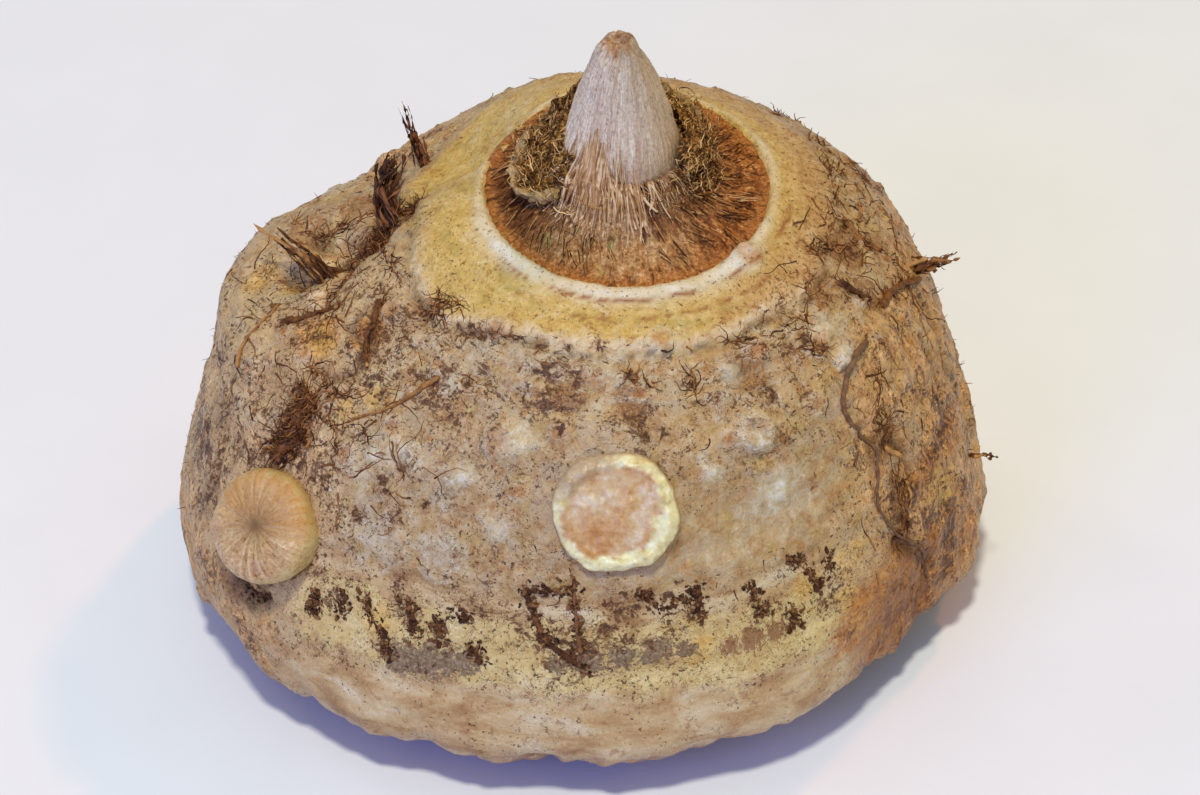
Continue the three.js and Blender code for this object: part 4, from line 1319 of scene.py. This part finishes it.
def sheath_shell(name, sweep, reaches, heights, seed):
    """The smooth curled shell of a torn sheath."""
    shape = bmesh.new()
    bmesh.ops.create_grid(shape, x_segments=80, y_segments=34, size=0.5)
    shell = bpy.data.meshes.new(name)
    shape.to_mesh(shell)
    shape.free()
    grid = vertex_array(shell)
    along, across = grid[:, 0] + 0.5, grid[:, 1] + 0.5
    turn = np.radians(sweep[0] + (sweep[1] - sweep[0]) * along)
    ragged = ripple(np.column_stack([along * 14, across * 3, 0 * along]), 1.0, 4, seed)
    outer = np.interp(along, *zip(*reaches)) + 0.5 * ragged
    rim = np.interp(along, *zip(*heights)) + 0.7 * ragged
    reach = SHEATH_FOOT + (outer - SHEATH_FOOT) * across ** 0.8
    bowl = np.interp(reach, *zip(*SHEATH_BOWL)) + 0.45
    high = bowl + (rim - bowl) * smooth(0.55, 1.0, across)
    move_vertices(shell, np.column_stack([reach * np.cos(turn), reach * np.sin(turn), high]) * MM)
    return evaluated_mesh(
        shell,
        ("SOLIDIFY", {"thickness": 0.7 * MM, "offset": 0.0}),
        ("SUBSURF", {"levels": 1, "render_levels": 1}),
    )


def torn_sheath(name, node, sweep, reaches, heights, seed, tufts):
    """A curled corky shell about the bud. Its sweep is a pair of angles; reaches and heights give,
    at places along it from 0 to 1, how far out and how high its outer rim is."""
    mesh = sheath_shell(name, sweep, reaches, heights, seed)
    points = vertex_array(mesh) / MM
    swell(mesh, points, 0.42 * ripple(points, 1.2, 4, seed + 1) + 0.25 * ripple(points, 0.4, 3, seed + 2))
    rho, turn = round_z(points)
    place = np.clip((np.degrees(turn) % 360 - sweep[0]) % 360 / (sweep[1] - sweep[0]), 0, 1)
    pale = smooth(-1.3, -0.4, rho - np.interp(place, *zip(*reaches)))
    mesh.transform(crown_place)
    store(mesh, "pale", pale * smooth(0.3, 0.6, place))
    as_piece(name, mesh, sheath_finish(), "old_sheath", node)
    surface = surface_of(mesh)
    rng = random.Random(seed)
    lines = []
    for _ in range(tufts):
        vertex = mesh.vertices[rng.randrange(len(mesh.vertices))]
        if vertex.normal.dot(CROWN_AXIS) > -0.1:
            way, steps, thick = any_way(rng), rng.randint(4, 12), rng.uniform(0.03, 0.09)
            rise = rng.choice((0, 0, 0.5, 1))
            lines.append(crawl(rng, vertex.co, way, steps, 0.2, 0.4, thick, 0.03, 0.4, rise, surface))
    fibres = name + "_fibres"
    as_piece(fibres, strands(fibres, lines), fibre_finish(name + "_fibre"), "old_sheath")


# Fibres of the sheath that stand, by where they grow: middle and spread in degrees, how many, and
# the tallest in millimetres.
UPRIGHT_FIBRES = [(44, 24, 240, 5.2), (352, 16, 150, 2), (128, 20, 150, 6), (185, 22, 90, 1.4)]
# And those that curl: middle and spread, how many, and the lowest and highest.
CURLED_FIBRES = [(18, 26, 230, 0.4, 4.4), (196, 26, 90, -2.2, 0.6)]


def upright_fibre(rng, middle, spread, tallest):
    """A fibre that stands on the scar beside the bud."""
    degrees = rng.gauss(middle, spread)
    base = rng.uniform(7, 10.4)
    low = scar_height(base) + rng.uniform(0, 0.7)
    tall = rng.uniform(0.4, tallest) * (1 - 0.12 * (base - 7))
    lean = rng.uniform(-16, 16)
    inward = rng.uniform(-0.4, 1.4)
    thick = rng.uniform(0.05, 0.14)
    line = []
    for i in range(7):
        t = i / 6
        arch = math.sin(math.pi * t) * rng.uniform(-0.2, 0.3)
        rho = max(base - inward * t + arch, 6.3 - 0.15 * low * t)
        line.append((in_crown(rho, degrees + lean * t, low + tall * t), thick * (1 - 0.6 * t)))
    return line


def curled_fibre(rng, middle, spread, low, high):
    """A fibre that curls at random beside the bud; on the left it lies further out and lower."""
    degrees, rho = rng.gauss(middle, spread), rng.uniform(6.9, 9.8)
    height = max(scar_height(rho) + 0.4, rng.uniform(low, high) * (1 - 0.12 * (rho - 7)))
    if middle > 90:
        rho, height = rng.uniform(8, 12), scar_height(rho) + rng.uniform(0.8, 2.2)
    heading, thick = rng.uniform(0, 6.3), rng.uniform(0.035, 0.1)
    line = []
    for i in range(9):
        heading += rng.gauss(0, 0.5)
        degrees += 2.2 * math.cos(heading)
        height += 0.24 * math.sin(heading)
        rho = max(6.5, rho + rng.gauss(0, 0.12))
        spot = in_crown(rho, degrees, max(height, scar_height(rho) + 0.1))
        line.append((spot, thick * (1 - 0.08 * i)))
    return line


def sheath_fibres():
    """Torn fibres that bristle from the old sheath on both sides of the bud."""
    rng = random.Random(8)
    lines = []
    for middle, spread, count, tallest in UPRIGHT_FIBRES:
        lines += [upright_fibre(rng, middle, spread, tallest) for _ in range(count)]
    for middle, spread, count, low, high in CURLED_FIBRES:
        lines += [curled_fibre(rng, middle, spread, low, high) for _ in range(count)]
    as_piece("sheath_fibres", strands("sheath_fibres", lines), fibre_finish("sheath_fibre"), "old_sheath")


scar_strands()
torn_sheath(
    "curled_flap", "sheath_remnant_left", (108, 217),
    [(0, 8), (0.25, 9.2), (0.5, 11.4), (0.75, 12.6), (0.92, 11.8), (1, 9.4)],
    [(0, 6), (0.2, 4.6), (0.4, 1), (0.6, -0.6), (0.8, -1.1), (1, 0.4)], 41, 620,
)
torn_sheath(
    "torn_wall", "sheath_remnant_right", (-30, 84),
    [(0, 7.4), (0.15, 8.6), (0.4, 9.2), (0.7, 8.6), (1, 7.6)],
    [(0, 0.8), (0.15, 1.4), (0.35, 1.9), (0.55, 2.8), (0.8, 4.6), (1, 5.2)], 45, 900,
)
sheath_fibres()


# ------------------------------------------------------------------ offset bud and snapped offset

OFFSET_FOOT, OFFSET_AXIS = flat_foot("offset_bud", direction(236, 35))
OFFSET_SUNK = 3  # from the solid's foot out to the middle of the dressed bud, in millimetres
OFFSET_SHIFT = 0.5  # and how far it stands to the right
OFFSET_SHAPE = [(0, -3), (4.8, -3), (5.5, -1), (5.9, 0.6), (6.1, 1.8), (6.0, 2.9), (5.45, 3.8),
                (4.3, 4.4), (2.6, 4.5), (1.2, 4.2), (0, 3.9)]
SNAPPED_SHAPE = [(0, 0.7), (2, 0.75), (3.6, 0.7), (4.4, 0.7), (4.9, 0.85), (5.4, 0.95), (5.9, 0.75),
                 (6.3, 0.3), (6.5, -0.4), (6.2, -1.6), (3, -2), (0, -2)]


def offset_bud():
    """The round offset bud, wrinkled out from the middle of its face."""
    mesh, points, rho, turn = round_piece("offset_bud", OFFSET_SHAPE, 0.2, 200)
    rays = np.column_stack([np.cos(turn), np.sin(turn), 0.05 * points[:, 2] + 0.03 * rho])
    crease = ripple(rays, 5.5, 4, 51)
    thread = ripple(rays, 20, 3, 52)
    face = smooth(3, 4.2, points[:, 2])
    push = (0.17 * crease + 0.1 * thread) * smooth(0.2, 2.2, rho) * (0.35 + 0.65 * face)
    push += 0.4 * ripple(points, 0.16, 2, 53) * smooth(-2, 1, points[:, 2])
    swell(mesh, points, push)
    middle = OFFSET_FOOT + (OFFSET_AXIS * OFFSET_SUNK + CROWN_RIGHT * OFFSET_SHIFT) * MM
    place = standing(middle, OFFSET_AXIS)
    mesh.transform(place)
    ray_vectors(mesh, place.inverted(), 7, 0.25)
    up = vertex_array(mesh)[:, 2] / MM
    store(mesh, "wall", np.clip(1 - smooth(3.0, 4.0, points[:, 2] + 0.5 * crease), 0, 1))
    store(mesh, "middle", (hump(rho, 0, 0.9) + 0.5 * hump(rho, 0, 2.4)) * face)
    store(mesh, "amber", np.clip(smooth(28.5, 31.5, up) * (0.7 + 0.5 * crease), 0, 1))
    as_piece("offset_bud_skin", mesh, offset_finish(), "offset_skin", "offset_bud")


def snapped_offset():
    """Where an offset broke off: a torn pale rim round a lumpy middle."""
    mesh, points, rho, turn = round_piece("snapped_offset", SNAPPED_SHAPE, 0.2, 220)
    height = points[:, 2]
    ring = np.column_stack([np.cos(turn), np.sin(turn), 0 * turn])
    outer = ripple(ring, 1.2, 3, 61)
    inner = ripple(ring, 1.6, 4, 64)
    ragged = ripple(points, 0.9, 3, 62)
    lump = ripple(points, 0.35, 3, 63)

    moved = points.copy()
    moved[:, :2] *= (1 + smooth(4, 6.4, rho) * 0.09 * outer)[:, None]
    on_top = smooth(-0.5, 0.3, height)
    at_rim = smooth(4.6, 5.4, rho)
    moved[:, 2] += on_top * (0.45 * lump * (1 - at_rim) + 0.3 * ragged * at_rim)
    moved[:, 2] += 0.35 * on_top * outer * smooth(4, 6, rho)
    move_vertices(mesh, moved * MM)

    away = np.degrees(turn) % 360
    gap = sector(away, 128, 36, 30)
    start = 5.0 + 0.75 * inner + 0.5 * ragged - 0.6 * hump(away, 340, 40) - 0.4 * hump(away, 285, 25)
    start += 0.5 * hump(away, 195, 35)
    torn = smooth(-0.1, 0.4, rho - start) * smooth(-0.3, 0.35, height + 0.5 * ragged)
    lower_left = hump(np.hypot(points[:, 0] + 1.8, points[:, 1] + 2.2), 0, 2.6 + 0.8 * lump)
    orange = np.clip(lower_left + hump(rho - start, -0.35, 0.3) * (0.5 + 0.5 * inner), 0, 1) * (1 - torn)
    mesh.transform(standing(*on_skin(SNAPPED_PLACE)))
    store(mesh, "orange", orange)
    store(mesh, "torn", np.clip(torn * (1 - 0.85 * gap), 0, 1))
    store(mesh, "film", np.clip(1 - smooth(-0.3, 0.5, height) + 0.7 * gap * smooth(3.6, 5.4, rho), 0, 1))
    as_piece("snapped_offset", mesh, snapped_finish(), "offset_skin")


offset_bud()
snapped_offset()


# ------------------------------------------------------------------ roots

LYING_ROOTS = {
    "root_right_long": ([
        (330.5, 37), (325.5, 37), (322, 35), (319.5, 32), (321, 28), (324.5, 22.5),
        (324, 18), (322.5, 13.5), (325, 7.5), (330.5, 1), (334, -6), (335, -8.5),
    ], 0.3, 0.14),
    "root_right_branch": ([(327, 21), (330.5, 17), (330, 13), (329, 9)], 0.26, 0.1),
    "root_right_upper": ([(339.5, 38.5), (344.5, 38), (350, 36), (355, 33)], 0.42, 0.3),
    "root_right_short": ([(334.5, 45.5), (336, 42.5), (337, 40.5)], 0.36, 0.2),
    "root_right_rim": ([(353, 49), (351, 45.5), (351.5, 41.5)], 0.26, 0.14),
    "root_left_curl": ([(197.5, 25.5), (195.5, 28.5), (194, 31.5), (191.5, 35)], 0.22, 0.12),
    "root_left_clump": ([(213.5, 30.5), (214.5, 27), (214.5, 23.5), (213.5, 19.5)], 0.5, 0.8),
    "root_left_crevice": ([(197, 34), (199, 39), (202, 42.5)], 0.42, 0.2),
    "root_left_upper": ([(211.5, 49), (214.5, 45.5), (215.5, 42.5), (220.5, 39.5)], 0.42, 0.2),
    "root_front_left": ([(238, 43.5), (235, 40.5), (230, 35.5), (226, 33), (224, 31)], 0.26, 0.1),
    "root_front_decayed_1": ([(261.5, 13.5), (262.5, 10), (264.5, 5.5), (267, 3)], 0.24, 0.3),
    "root_front_decayed_2": ([(269, 16), (269, 12.5), (269.5, 7.5), (270, 3)], 0.16, 0.28),
    "root_back_long": ([(62, 40), (66, 33), (61, 26), (64, 18), (60, 10)], 0.42, 0.2),
    "root_back_short": ([(104, 34), (110, 31), (113, 25), (119, 22)], 0.4, 0.2),
}
# Each: foot, bends from it in millimetres, thickness at the foot and at the tip, splinters.
STANDING_ROOTS = {
    "root_right_stub": ((358, 34), [(1.8, -0.8, 0.9), (3, -1.2, 1.3), (4.8, -1.6, 2.4)], 0.8, 0.35, 26),
    "root_right_edge": ((353, 1.5), [(1.3, -0.3, 0.5), (2.2, -0.4, 0.1), (3, -0.6, 0.4)], 0.35, 0.15, 7),
    "root_left_spike": ((190.2, 42.6), [(-2, 0.8, 1.4), (-4.8, 2, 3), (-8, 3.4, 4.9)], 0.8, 0.1, 30),
    "root_left_tuft": ((181, 55), [(-0.9, 1.4, 2.6), (-0.5, 2.8, 4.4), (0.1, 4.2, 6.6)], 0.85, 0.3, 80),
    "root_back_left_tuft": (
        (142, 50.5), [(-0.7, 0.5, 2.8), (-1.4, 0.8, 5.2), (-2.4, 1.1, 7.9)], 0.55, 0.06, 24),
}
# Roots rotted flat on the lower front: a route, and how thick at its start and end.
ROTTED_ROOTS = [
    ([(261.5, 14), (262.5, 10), (264.5, 5.5), (267, 3), (270.5, 0.5)], 0.5, 0.9),
    ([(269, 16.5), (269, 12.5), (269.5, 7.5), (270, 3)], 0.25, 0.6),
    ([(261.5, 14), (264.5, 14), (267, 14.5)], 0.4, 0.25),
    ([(235.5, 6.5), (236.5, 4), (238.5, 1.5), (240, -0.5), (241, -2)], 0.25, 0.6),
    ([(242, 8), (243, 6), (244, 3.5), (243.5, 1.5)], 0.3, 0.3),
    ([(231.5, 5.5), (232, 4), (232, 2.5)], 0.3, 0.4),
    ([(227, 3), (227.5, 1.5), (227, 0.5)], 0.4, 0.3),
    ([(247, 6), (248, 4.5), (247.5, 2.5)], 0.4, 0.5),
    ([(250, 7.5), (252.5, 7)], 0.25, 0.2),
    ([(253, 2.5), (255, 0)], 0.5, 0.4),
    ([(279.5, 14), (281, 11.5), (282.5, 10.5), (286, 11), (288, 12.5)], 0.3, 0.3),
    ([(287.5, 13.5), (288.5, 11), (288, 7.5)], 0.3, 0.4),
    ([(296.5, 11.5), (297.5, 8.5), (298.5, 5.5)], 0.25, 0.6),
    ([(303.5, 14), (307, 9.5), (308.5, 6)], 0.25, 0.4),
    ([(311, 11), (311, 7.5)], 0.25, 0.3),
    ([(302.5, 5), (303.5, 3), (302.5, 1.5)], 0.3, 0.3),
    ([(219, -1), (216, -2), (213, -1)], 0.6, 0.4),
]
# Ragged dark fibres in cracks and old root holes: a route, how wide in millimetres, how many.
RAGGED = [
    ([(142, 44), (155.5, 49), (177, 54), (186.5, 52.5), (188, 49.5)], 1.2, 190),
    ([(178, 56), (184, 53.5), (188, 49)], 1.6, 170),
    ([(172, 58), (178, 60), (190, 60)], 1.0, 60),
    ([(167, 37), (174, 41.5), (172.5, 44.5), (174, 49), (166, 51.5)], 0.7, 70),
    ([(183, 36), (187, 38), (187, 41), (186, 44), (191, 47)], 0.6, 50),
    ([(190, 47), (196, 43), (200, 40)], 0.6, 40),
    ([(187, 53.5), (200.5, 54), (208, 53)], 0.9, 36),
    ([(197, 34), (199, 39), (202, 42.5)], 0.5, 46),
    ([(211.5, 49), (214.5, 45.5), (215.5, 42.5), (220.5, 39.5)], 0.5, 60),
    ([(210.5, 34), (214.5, 33.5), (219, 33.5), (223, 36)], 0.5, 60),
    ([(213.5, 31), (214.5, 27), (214.5, 23.5), (213.5, 19.5)], 1.8, 420),
    ([(225, 32.5), (229, 30.5)], 0.3, 14),
    ([(221.5, 29.5), (225, 26)], 0.3, 16),
    ([(224, 50.5), (228.5, 53.5), (234.5, 55.5)], 0.6, 46),
    ([(225.5, 56), (229, 53.5), (232.5, 52)], 0.5, 24),
    ([(0, 51), (353, 49), (351, 45.5), (351.5, 41.5)], 0.5, 70),
    ([(337.5, 52), (336.5, 50)], 0.4, 22),
    ([(10, 51), (4, 51), (359, 49), (350, 50)], 0.9, 90),
    ([(20, 44), (12, 46), (358, 45)], 0.8, 60),
    ([(0, 44), (350, 43), (352, 38)], 0.7, 60),
    ([(341, 49.5), (348, 46)], 0.4, 30),
    ([(334.5, 45.5), (336, 42.5), (337, 40.5)], 0.4, 30),
    ([(339.5, 38.5), (344.5, 38), (352.5, 35)], 0.5, 36),
    ([(327, 52), (330, 49.5), (327, 48.5)], 0.3, 20),
    ([(316, 43), (318, 41.5), (321, 40)], 0.7, 30),
    ([(328, 15.5), (328, 11.5), (327.5, 7.5), (325, 5)], 0.9, 60),
    ([(328.5, 25), (327.5, 22.5)], 0.5, 20),
    ([(330, 31.5), (327.5, 29), (326, 26)], 0.4, 24),
    ([(280.5, 47), (281, 45.5)], 0.5, 14),
    ([(293.5, 45), (293, 42)], 0.4, 18),
    ([(304, 48), (314, 46), (324, 46)], 0.4, 40),
    ([(254, 52.5), (249, 52.5), (244, 52)], 0.3, 24),
    ([(40, 46), (44, 42), (41, 38)], 0.6, 30),
    ([(70, 44), (76, 40), (73, 34)], 0.6, 36),
    ([(104, 42), (108, 37), (104, 31)], 0.6, 36),
    ([(125, 33), (130, 26), (128, 18)], 0.6, 40),
    ([(30, 24), (33, 16), (29, 8)], 0.6, 40),
]
ROOT_LOOKS = ("rotted", "brown", "grey", "clump")  # each has tones of its own


def through(knots, count):
    """Points of a smooth curve through knots, which may be of any dimension."""
    knots = [np.array(knot, dtype=float) for knot in knots]
    line = []
    for step in range(count):
        t = step / (count - 1) * (len(knots) - 1)
        i = min(int(t), len(knots) - 2)
        near = [knots[min(max(i + k, 0), len(knots) - 1)] for k in (-1, 0, 1, 2)]
        line.append(curve_point(*near, t - i))
    return line


def rough_tube(mesh, seed, amount):
    """Dries a smooth strand into a wrinkled one."""
    points = vertex_array(mesh) / MM
    swell(mesh, points, amount * (ripple(points, 0.9, 3, seed) + 0.6 * ripple(points, 3, 2, seed + 1)))


def lying_lines(route, thick, thin, rng, proud=0.7, partners=2):
    """A root along a route on the skin, with finer ones that follow it loosely."""
    steps = 14 * len(route)
    lines = []
    for partner in range(partners + 1):
        leads = partner == 0
        girth = 1 if leads else 0.4
        start = 0 if leads else rng.randint(0, steps // 2)
        end = steps if leads else min(steps, start + rng.randint(10, steps))
        drift = rng.uniform(-1, 1) * thick * 1.6
        line = []
        for i, place in list(enumerate(through(route, steps)))[start:end]:
            near, normal = on_skin(place, visible_skin)
            t = i / (steps - 1)
            radius = tapered(thick, thin, t) * girth
            radius *= 1 + 0.14 * math.sin(9 * t) + rng.uniform(-0.08, 0.08)
            aside = 0 if leads else drift * math.sin(0.35 * i)
            shift = along_skin(Vector((1, 0.4, 0)), normal) * aside
            line.append((near + (normal * proud * radius + shift) * MM, radius))
        thin_end(line, 0, 0.5)
        thin_end(line, -1, 0.3)
        lines.append(line)
    return lines


def standing_lines(foot, bends, thick, thin, splinters, rng):
    """A root that stands out from the skin as a bundle of splinters of unequal length."""
    start, normal = on_skin(foot, visible_skin)
    knots = [start / MM - normal * 0.6] + [start / MM + Vector(bend) for bend in bends]
    steps = 20
    lines = []
    for splinter in range(splinters):
        leads = splinter == 0
        share = 1 if leads else rng.uniform(0.25, 0.95)
        spread = 0 if leads else thick
        girth = 0.55 if leads else rng.triangular(0.06, 0.36, 0.14)
        drift, offset = any_way(rng) * spread * 0.9, any_way(rng) * spread * 0.8
        wave, turn = any_way(rng) * 0.35 * thick, rng.uniform(0, 6)
        line = []
        for i, knot in enumerate(through(knots, steps)[:max(5, int(steps * share))]):
            t = i / (steps - 1)
            radius = tapered(thick, thin, t) * girth * rng.uniform(0.75, 1.2)
            point = Vector(knot) + offset * (1 - t) + drift * t + wave * math.sin(turn + 8 * t)
            line.append((point * MM, radius))
        thin_end(line, -1, 0.3)
        lines.append(line)
    return lines


def dried_root(name, lines, seed, wrinkle, finish):
    """One dried root's skin, over its solid of the same name."""
    mesh = strands(name + "_skin", lines, 2)
    rough_tube(mesh, seed, wrinkle)
    as_piece(name + "_skin", mesh, finish, "dried_root", name)


def roots():
    """The larger dried roots, each over a solid of its own."""
    rng = random.Random(17)
    finishes = {look: fibre_finish("dried_root_" + look, 0.5) for look in ROOT_LOOKS}
    for i, (name, (route, thick, thin)) in enumerate(LYING_ROOTS.items()):
        rotted, clumped = "decayed" in name, "clump" in name
        proud = -0.1 if rotted or clumped else 0.7
        lines = lying_lines(route, thick, thin, rng, proud)
        grey = "grey" if name == "root_right_long" else "brown"
        look = "rotted" if rotted else "clump" if clumped else grey
        dried_root(name, lines, 70 + i, (0.5 if clumped else 0.3) * thick, finishes[look])
    for i, (name, shape) in enumerate(STANDING_ROOTS.items()):
        look = "clump" if "left_tuft" in name else "brown"
        dried_root(name, standing_lines(*shape, rng), 90 + i, 0.25, finishes[look])


def rotted_roots():
    """Dark roots rotted flat on the skin, with crumbs beside them."""
    rng = random.Random(29)
    lines = []
    for route, thick, thin in ROTTED_ROOTS:
        steps = 8 * len(route)
        line = []
        for i, place in enumerate(through(route, steps)):
            near, normal = on_skin(place, visible_skin)
            t = i / (steps - 1)
            radius = 0.5 * tapered(thick, thin, t) * rng.uniform(0.3, 1.5)
            line.append((near - normal * 0.3 * radius * MM, radius * min(1, 0.3 + 5 * min(t, 1 - t))))
        lines.append(line)
        path = through(route, 30)
        for _ in range(22 * len(route)):
            near, normal = on_skin(path[rng.randrange(30)], visible_skin)
            start = near + along_skin(any_way(rng), normal) * rng.uniform(0, 1.1) * MM
            size = rng.triangular(0.05, 0.26, 0.09)
            lines.append(crawl(rng, start, any_way(rng), 3, size * 1.6, 0.3, size, size * 0.5, 0.1))
    mesh = strands("rotted_roots", lines, 1)
    rough_tube(mesh, 110, 0.16)
    as_piece("rotted_roots", mesh, fibre_finish("rotted_root"), "dried_root")


def ragged_fibres():
    """Short torn fibres in the cracks of the skin and round old root holes."""
    rng = random.Random(31)
    lines = []
    for route, width, count in RAGGED:
        path = through(route, 40)
        for _ in range(count):
            i = rng.randrange(39)
            near, normal = on_skin(path[i], visible_skin)
            ahead, _ = on_skin(path[i + 1], visible_skin)
            way = along_skin(ahead - near, normal)
            side = way.cross(normal)
            start = near + side * rng.gauss(0, 0.5 * width) * MM
            heading = along_skin(way * rng.choice((-1, 1)) + side * rng.gauss(0, 0.6), normal)
            thick = rng.triangular(0.04, 0.1 + 0.1 * width, 0.07)
            rise = rng.choice((0, 0, 0, 0.3, 0.7, 1.1)) * width
            lines.append(crawl(rng, start, heading, rng.randint(4, 11), 0.24, 0.4, thick, 0.03, 0.2, rise))
    as_piece("ragged_fibres", strands("ragged_fibres", lines), fibre_finish("ragged_fibre"), "dried_root")


# Where fine dead roots crowd: middle, spread in angle and elevation, and how many.
CROWDED_HAIRS = [((204, 33), 9, 7, 40), ((222, 33), 8, 7, 34), ((190, 40), 9, 7, 34),
                 ((345, 42), 9, 7, 36), ((328, 12), 4, 10, 22), ((355, 35), 7, 6, 26), ((236, 24), 6, 4, 18)]


def fine_hairs():
    """Fine dead roots that creep over the skin, thickest on the left shoulder and the right."""
    rng = random.Random(23)
    lines = []
    for place, spread, tall, count in CROWDED_HAIRS:
        for _ in range(count):
            spot = (rng.gauss(place[0], spread), rng.gauss(place[1], tall))
            point, normal = on_skin(spot, visible_skin)
            way = along_skin(any_way(rng), normal)
            thick, steps = rng.triangular(0.04, 0.19, 0.06), rng.randint(5, 16)
            proud = rng.uniform(-0.3, 0.5)
            lines.append(crawl(rng, point, way, steps, 0.34, 0.2, thick, 0.03, proud))
    for _ in range(110):
        spot = (rng.uniform(0, 360), rng.triangular(-4, 48, 26))
        point, normal = on_skin(spot, visible_skin)
        down = along_skin(Vector((rng.gauss(0, 0.5), rng.gauss(0, 0.5), -1)), normal)
        steps, thick = rng.randint(4, 10), rng.uniform(0.04, 0.1)
        lines.append(crawl(rng, point, down, steps, 0.3, 0.3, thick, 0.03, 0.2))
    for _ in range(420):
        angle = rng.choice((rng.gauss(190, 26), rng.gauss(350, 26), rng.uniform(0, 360)))
        point, normal = on_skin((angle, rng.uniform(-6, 56)), visible_skin)
        way = (along_skin(any_way(rng), normal) + normal * rng.uniform(0.2, 1.6)).normalized()
        length, thick = rng.uniform(0.3, 1.2), rng.uniform(0.03, 0.07)
        bend = any_way(rng) * 0.1
        lines.append([
            (point + (way * length * t + bend * t * t - normal * 0.05) * MM, thick * (1 - 0.7 * t))
            for t in (0, 0.35, 0.7, 1)
        ])
    as_piece("fine_roots", strands("fine_roots", lines, 1), fibre_finish("fine_root"), "dried_root")


roots()
rotted_roots()
ragged_fibres()
fine_hairs()


# ------------------------------------------------------------------ floor, light and camera

def floor():
    """The white sheet that the tuber stands on."""
    bpy.ops.mesh.primitive_plane_add(size=6, location=(0, 0, -0.2 * MM))
    sheet = bpy.context.object
    sheet.name = "floor"
    f = Finish("white_sheet")
    grain = f.noise(0.05, 3)
    colour = f.blend(grain, (0.3, tint(234, 231, 234)), (0.7, tint(237, 234, 237)))
    sheet.data.materials.append(f.finish(colour, 0.9, Specular_IOR_Level=0.1))


def lamp(name, place, size, watts, colour):
    """A round area lamp, aimed at the middle of the tuber."""
    light = bpy.data.lights.new(name, "AREA")
    light.shape = "DISK"
    light.size = size
    light.energy = watts
    light.color = colour
    holder = bpy.data.objects.new(name, light)
    scene.collection.objects.link(holder)
    holder.location = place
    aim = UP * 30 * MM - Vector(place)
    holder.rotation_euler = aim.to_track_quat("-Z", "Y").to_euler()


def world():
    """Faint light from all round."""
    scene.world = bpy.data.worlds.new("studio")
    scene.world.use_nodes = True
    background = scene.world.node_tree.nodes["Background"]
    background.inputs["Color"].default_value = (0.78, 1.0, 1.0, 1)
    background.inputs["Strength"].default_value = 0.4


TARGET = Vector((1.43, -0.33, 25.5)) * MM
CAMERA_ELEVATION = 38
CAMERA_DISTANCE = 0.45
LENS = 120.75


def camera():
    """A long lens that looks down on the tuber's front."""
    tilt = math.radians(CAMERA_ELEVATION)
    data = bpy.data.cameras.new("camera")
    data.lens = LENS
    data.sensor_width = 36
    data.clip_start = 0.01
    holder = bpy.data.objects.new("camera", data)
    scene.collection.objects.link(holder)
    holder.location = TARGET + Vector((0, -math.cos(tilt), math.sin(tilt))) * CAMERA_DISTANCE
    holder.rotation_euler = (math.pi / 2 - tilt, 0, 0)
    scene.camera = holder


floor()
lamp("high_front", (-0.05, -0.52, 1.12), 0.11, 9.0, (0.98, 1.0, 0.83))
lamp("warm_right", (0.5, 0.5, 1.05), 0.1, 2.6, (1.0, 0.36, 0.03))
lamp("pale_left", (-0.8, 0.45, 0.85), 0.16, 0.5, (1.0, 0.8, 0.7))
lamp("blue_window", (-0.55, -0.85, 0.5), 0.6, 5.4, (0.05, 0.12, 1.0))
world()
camera()
scene.view_settings.view_transform = "Standard"
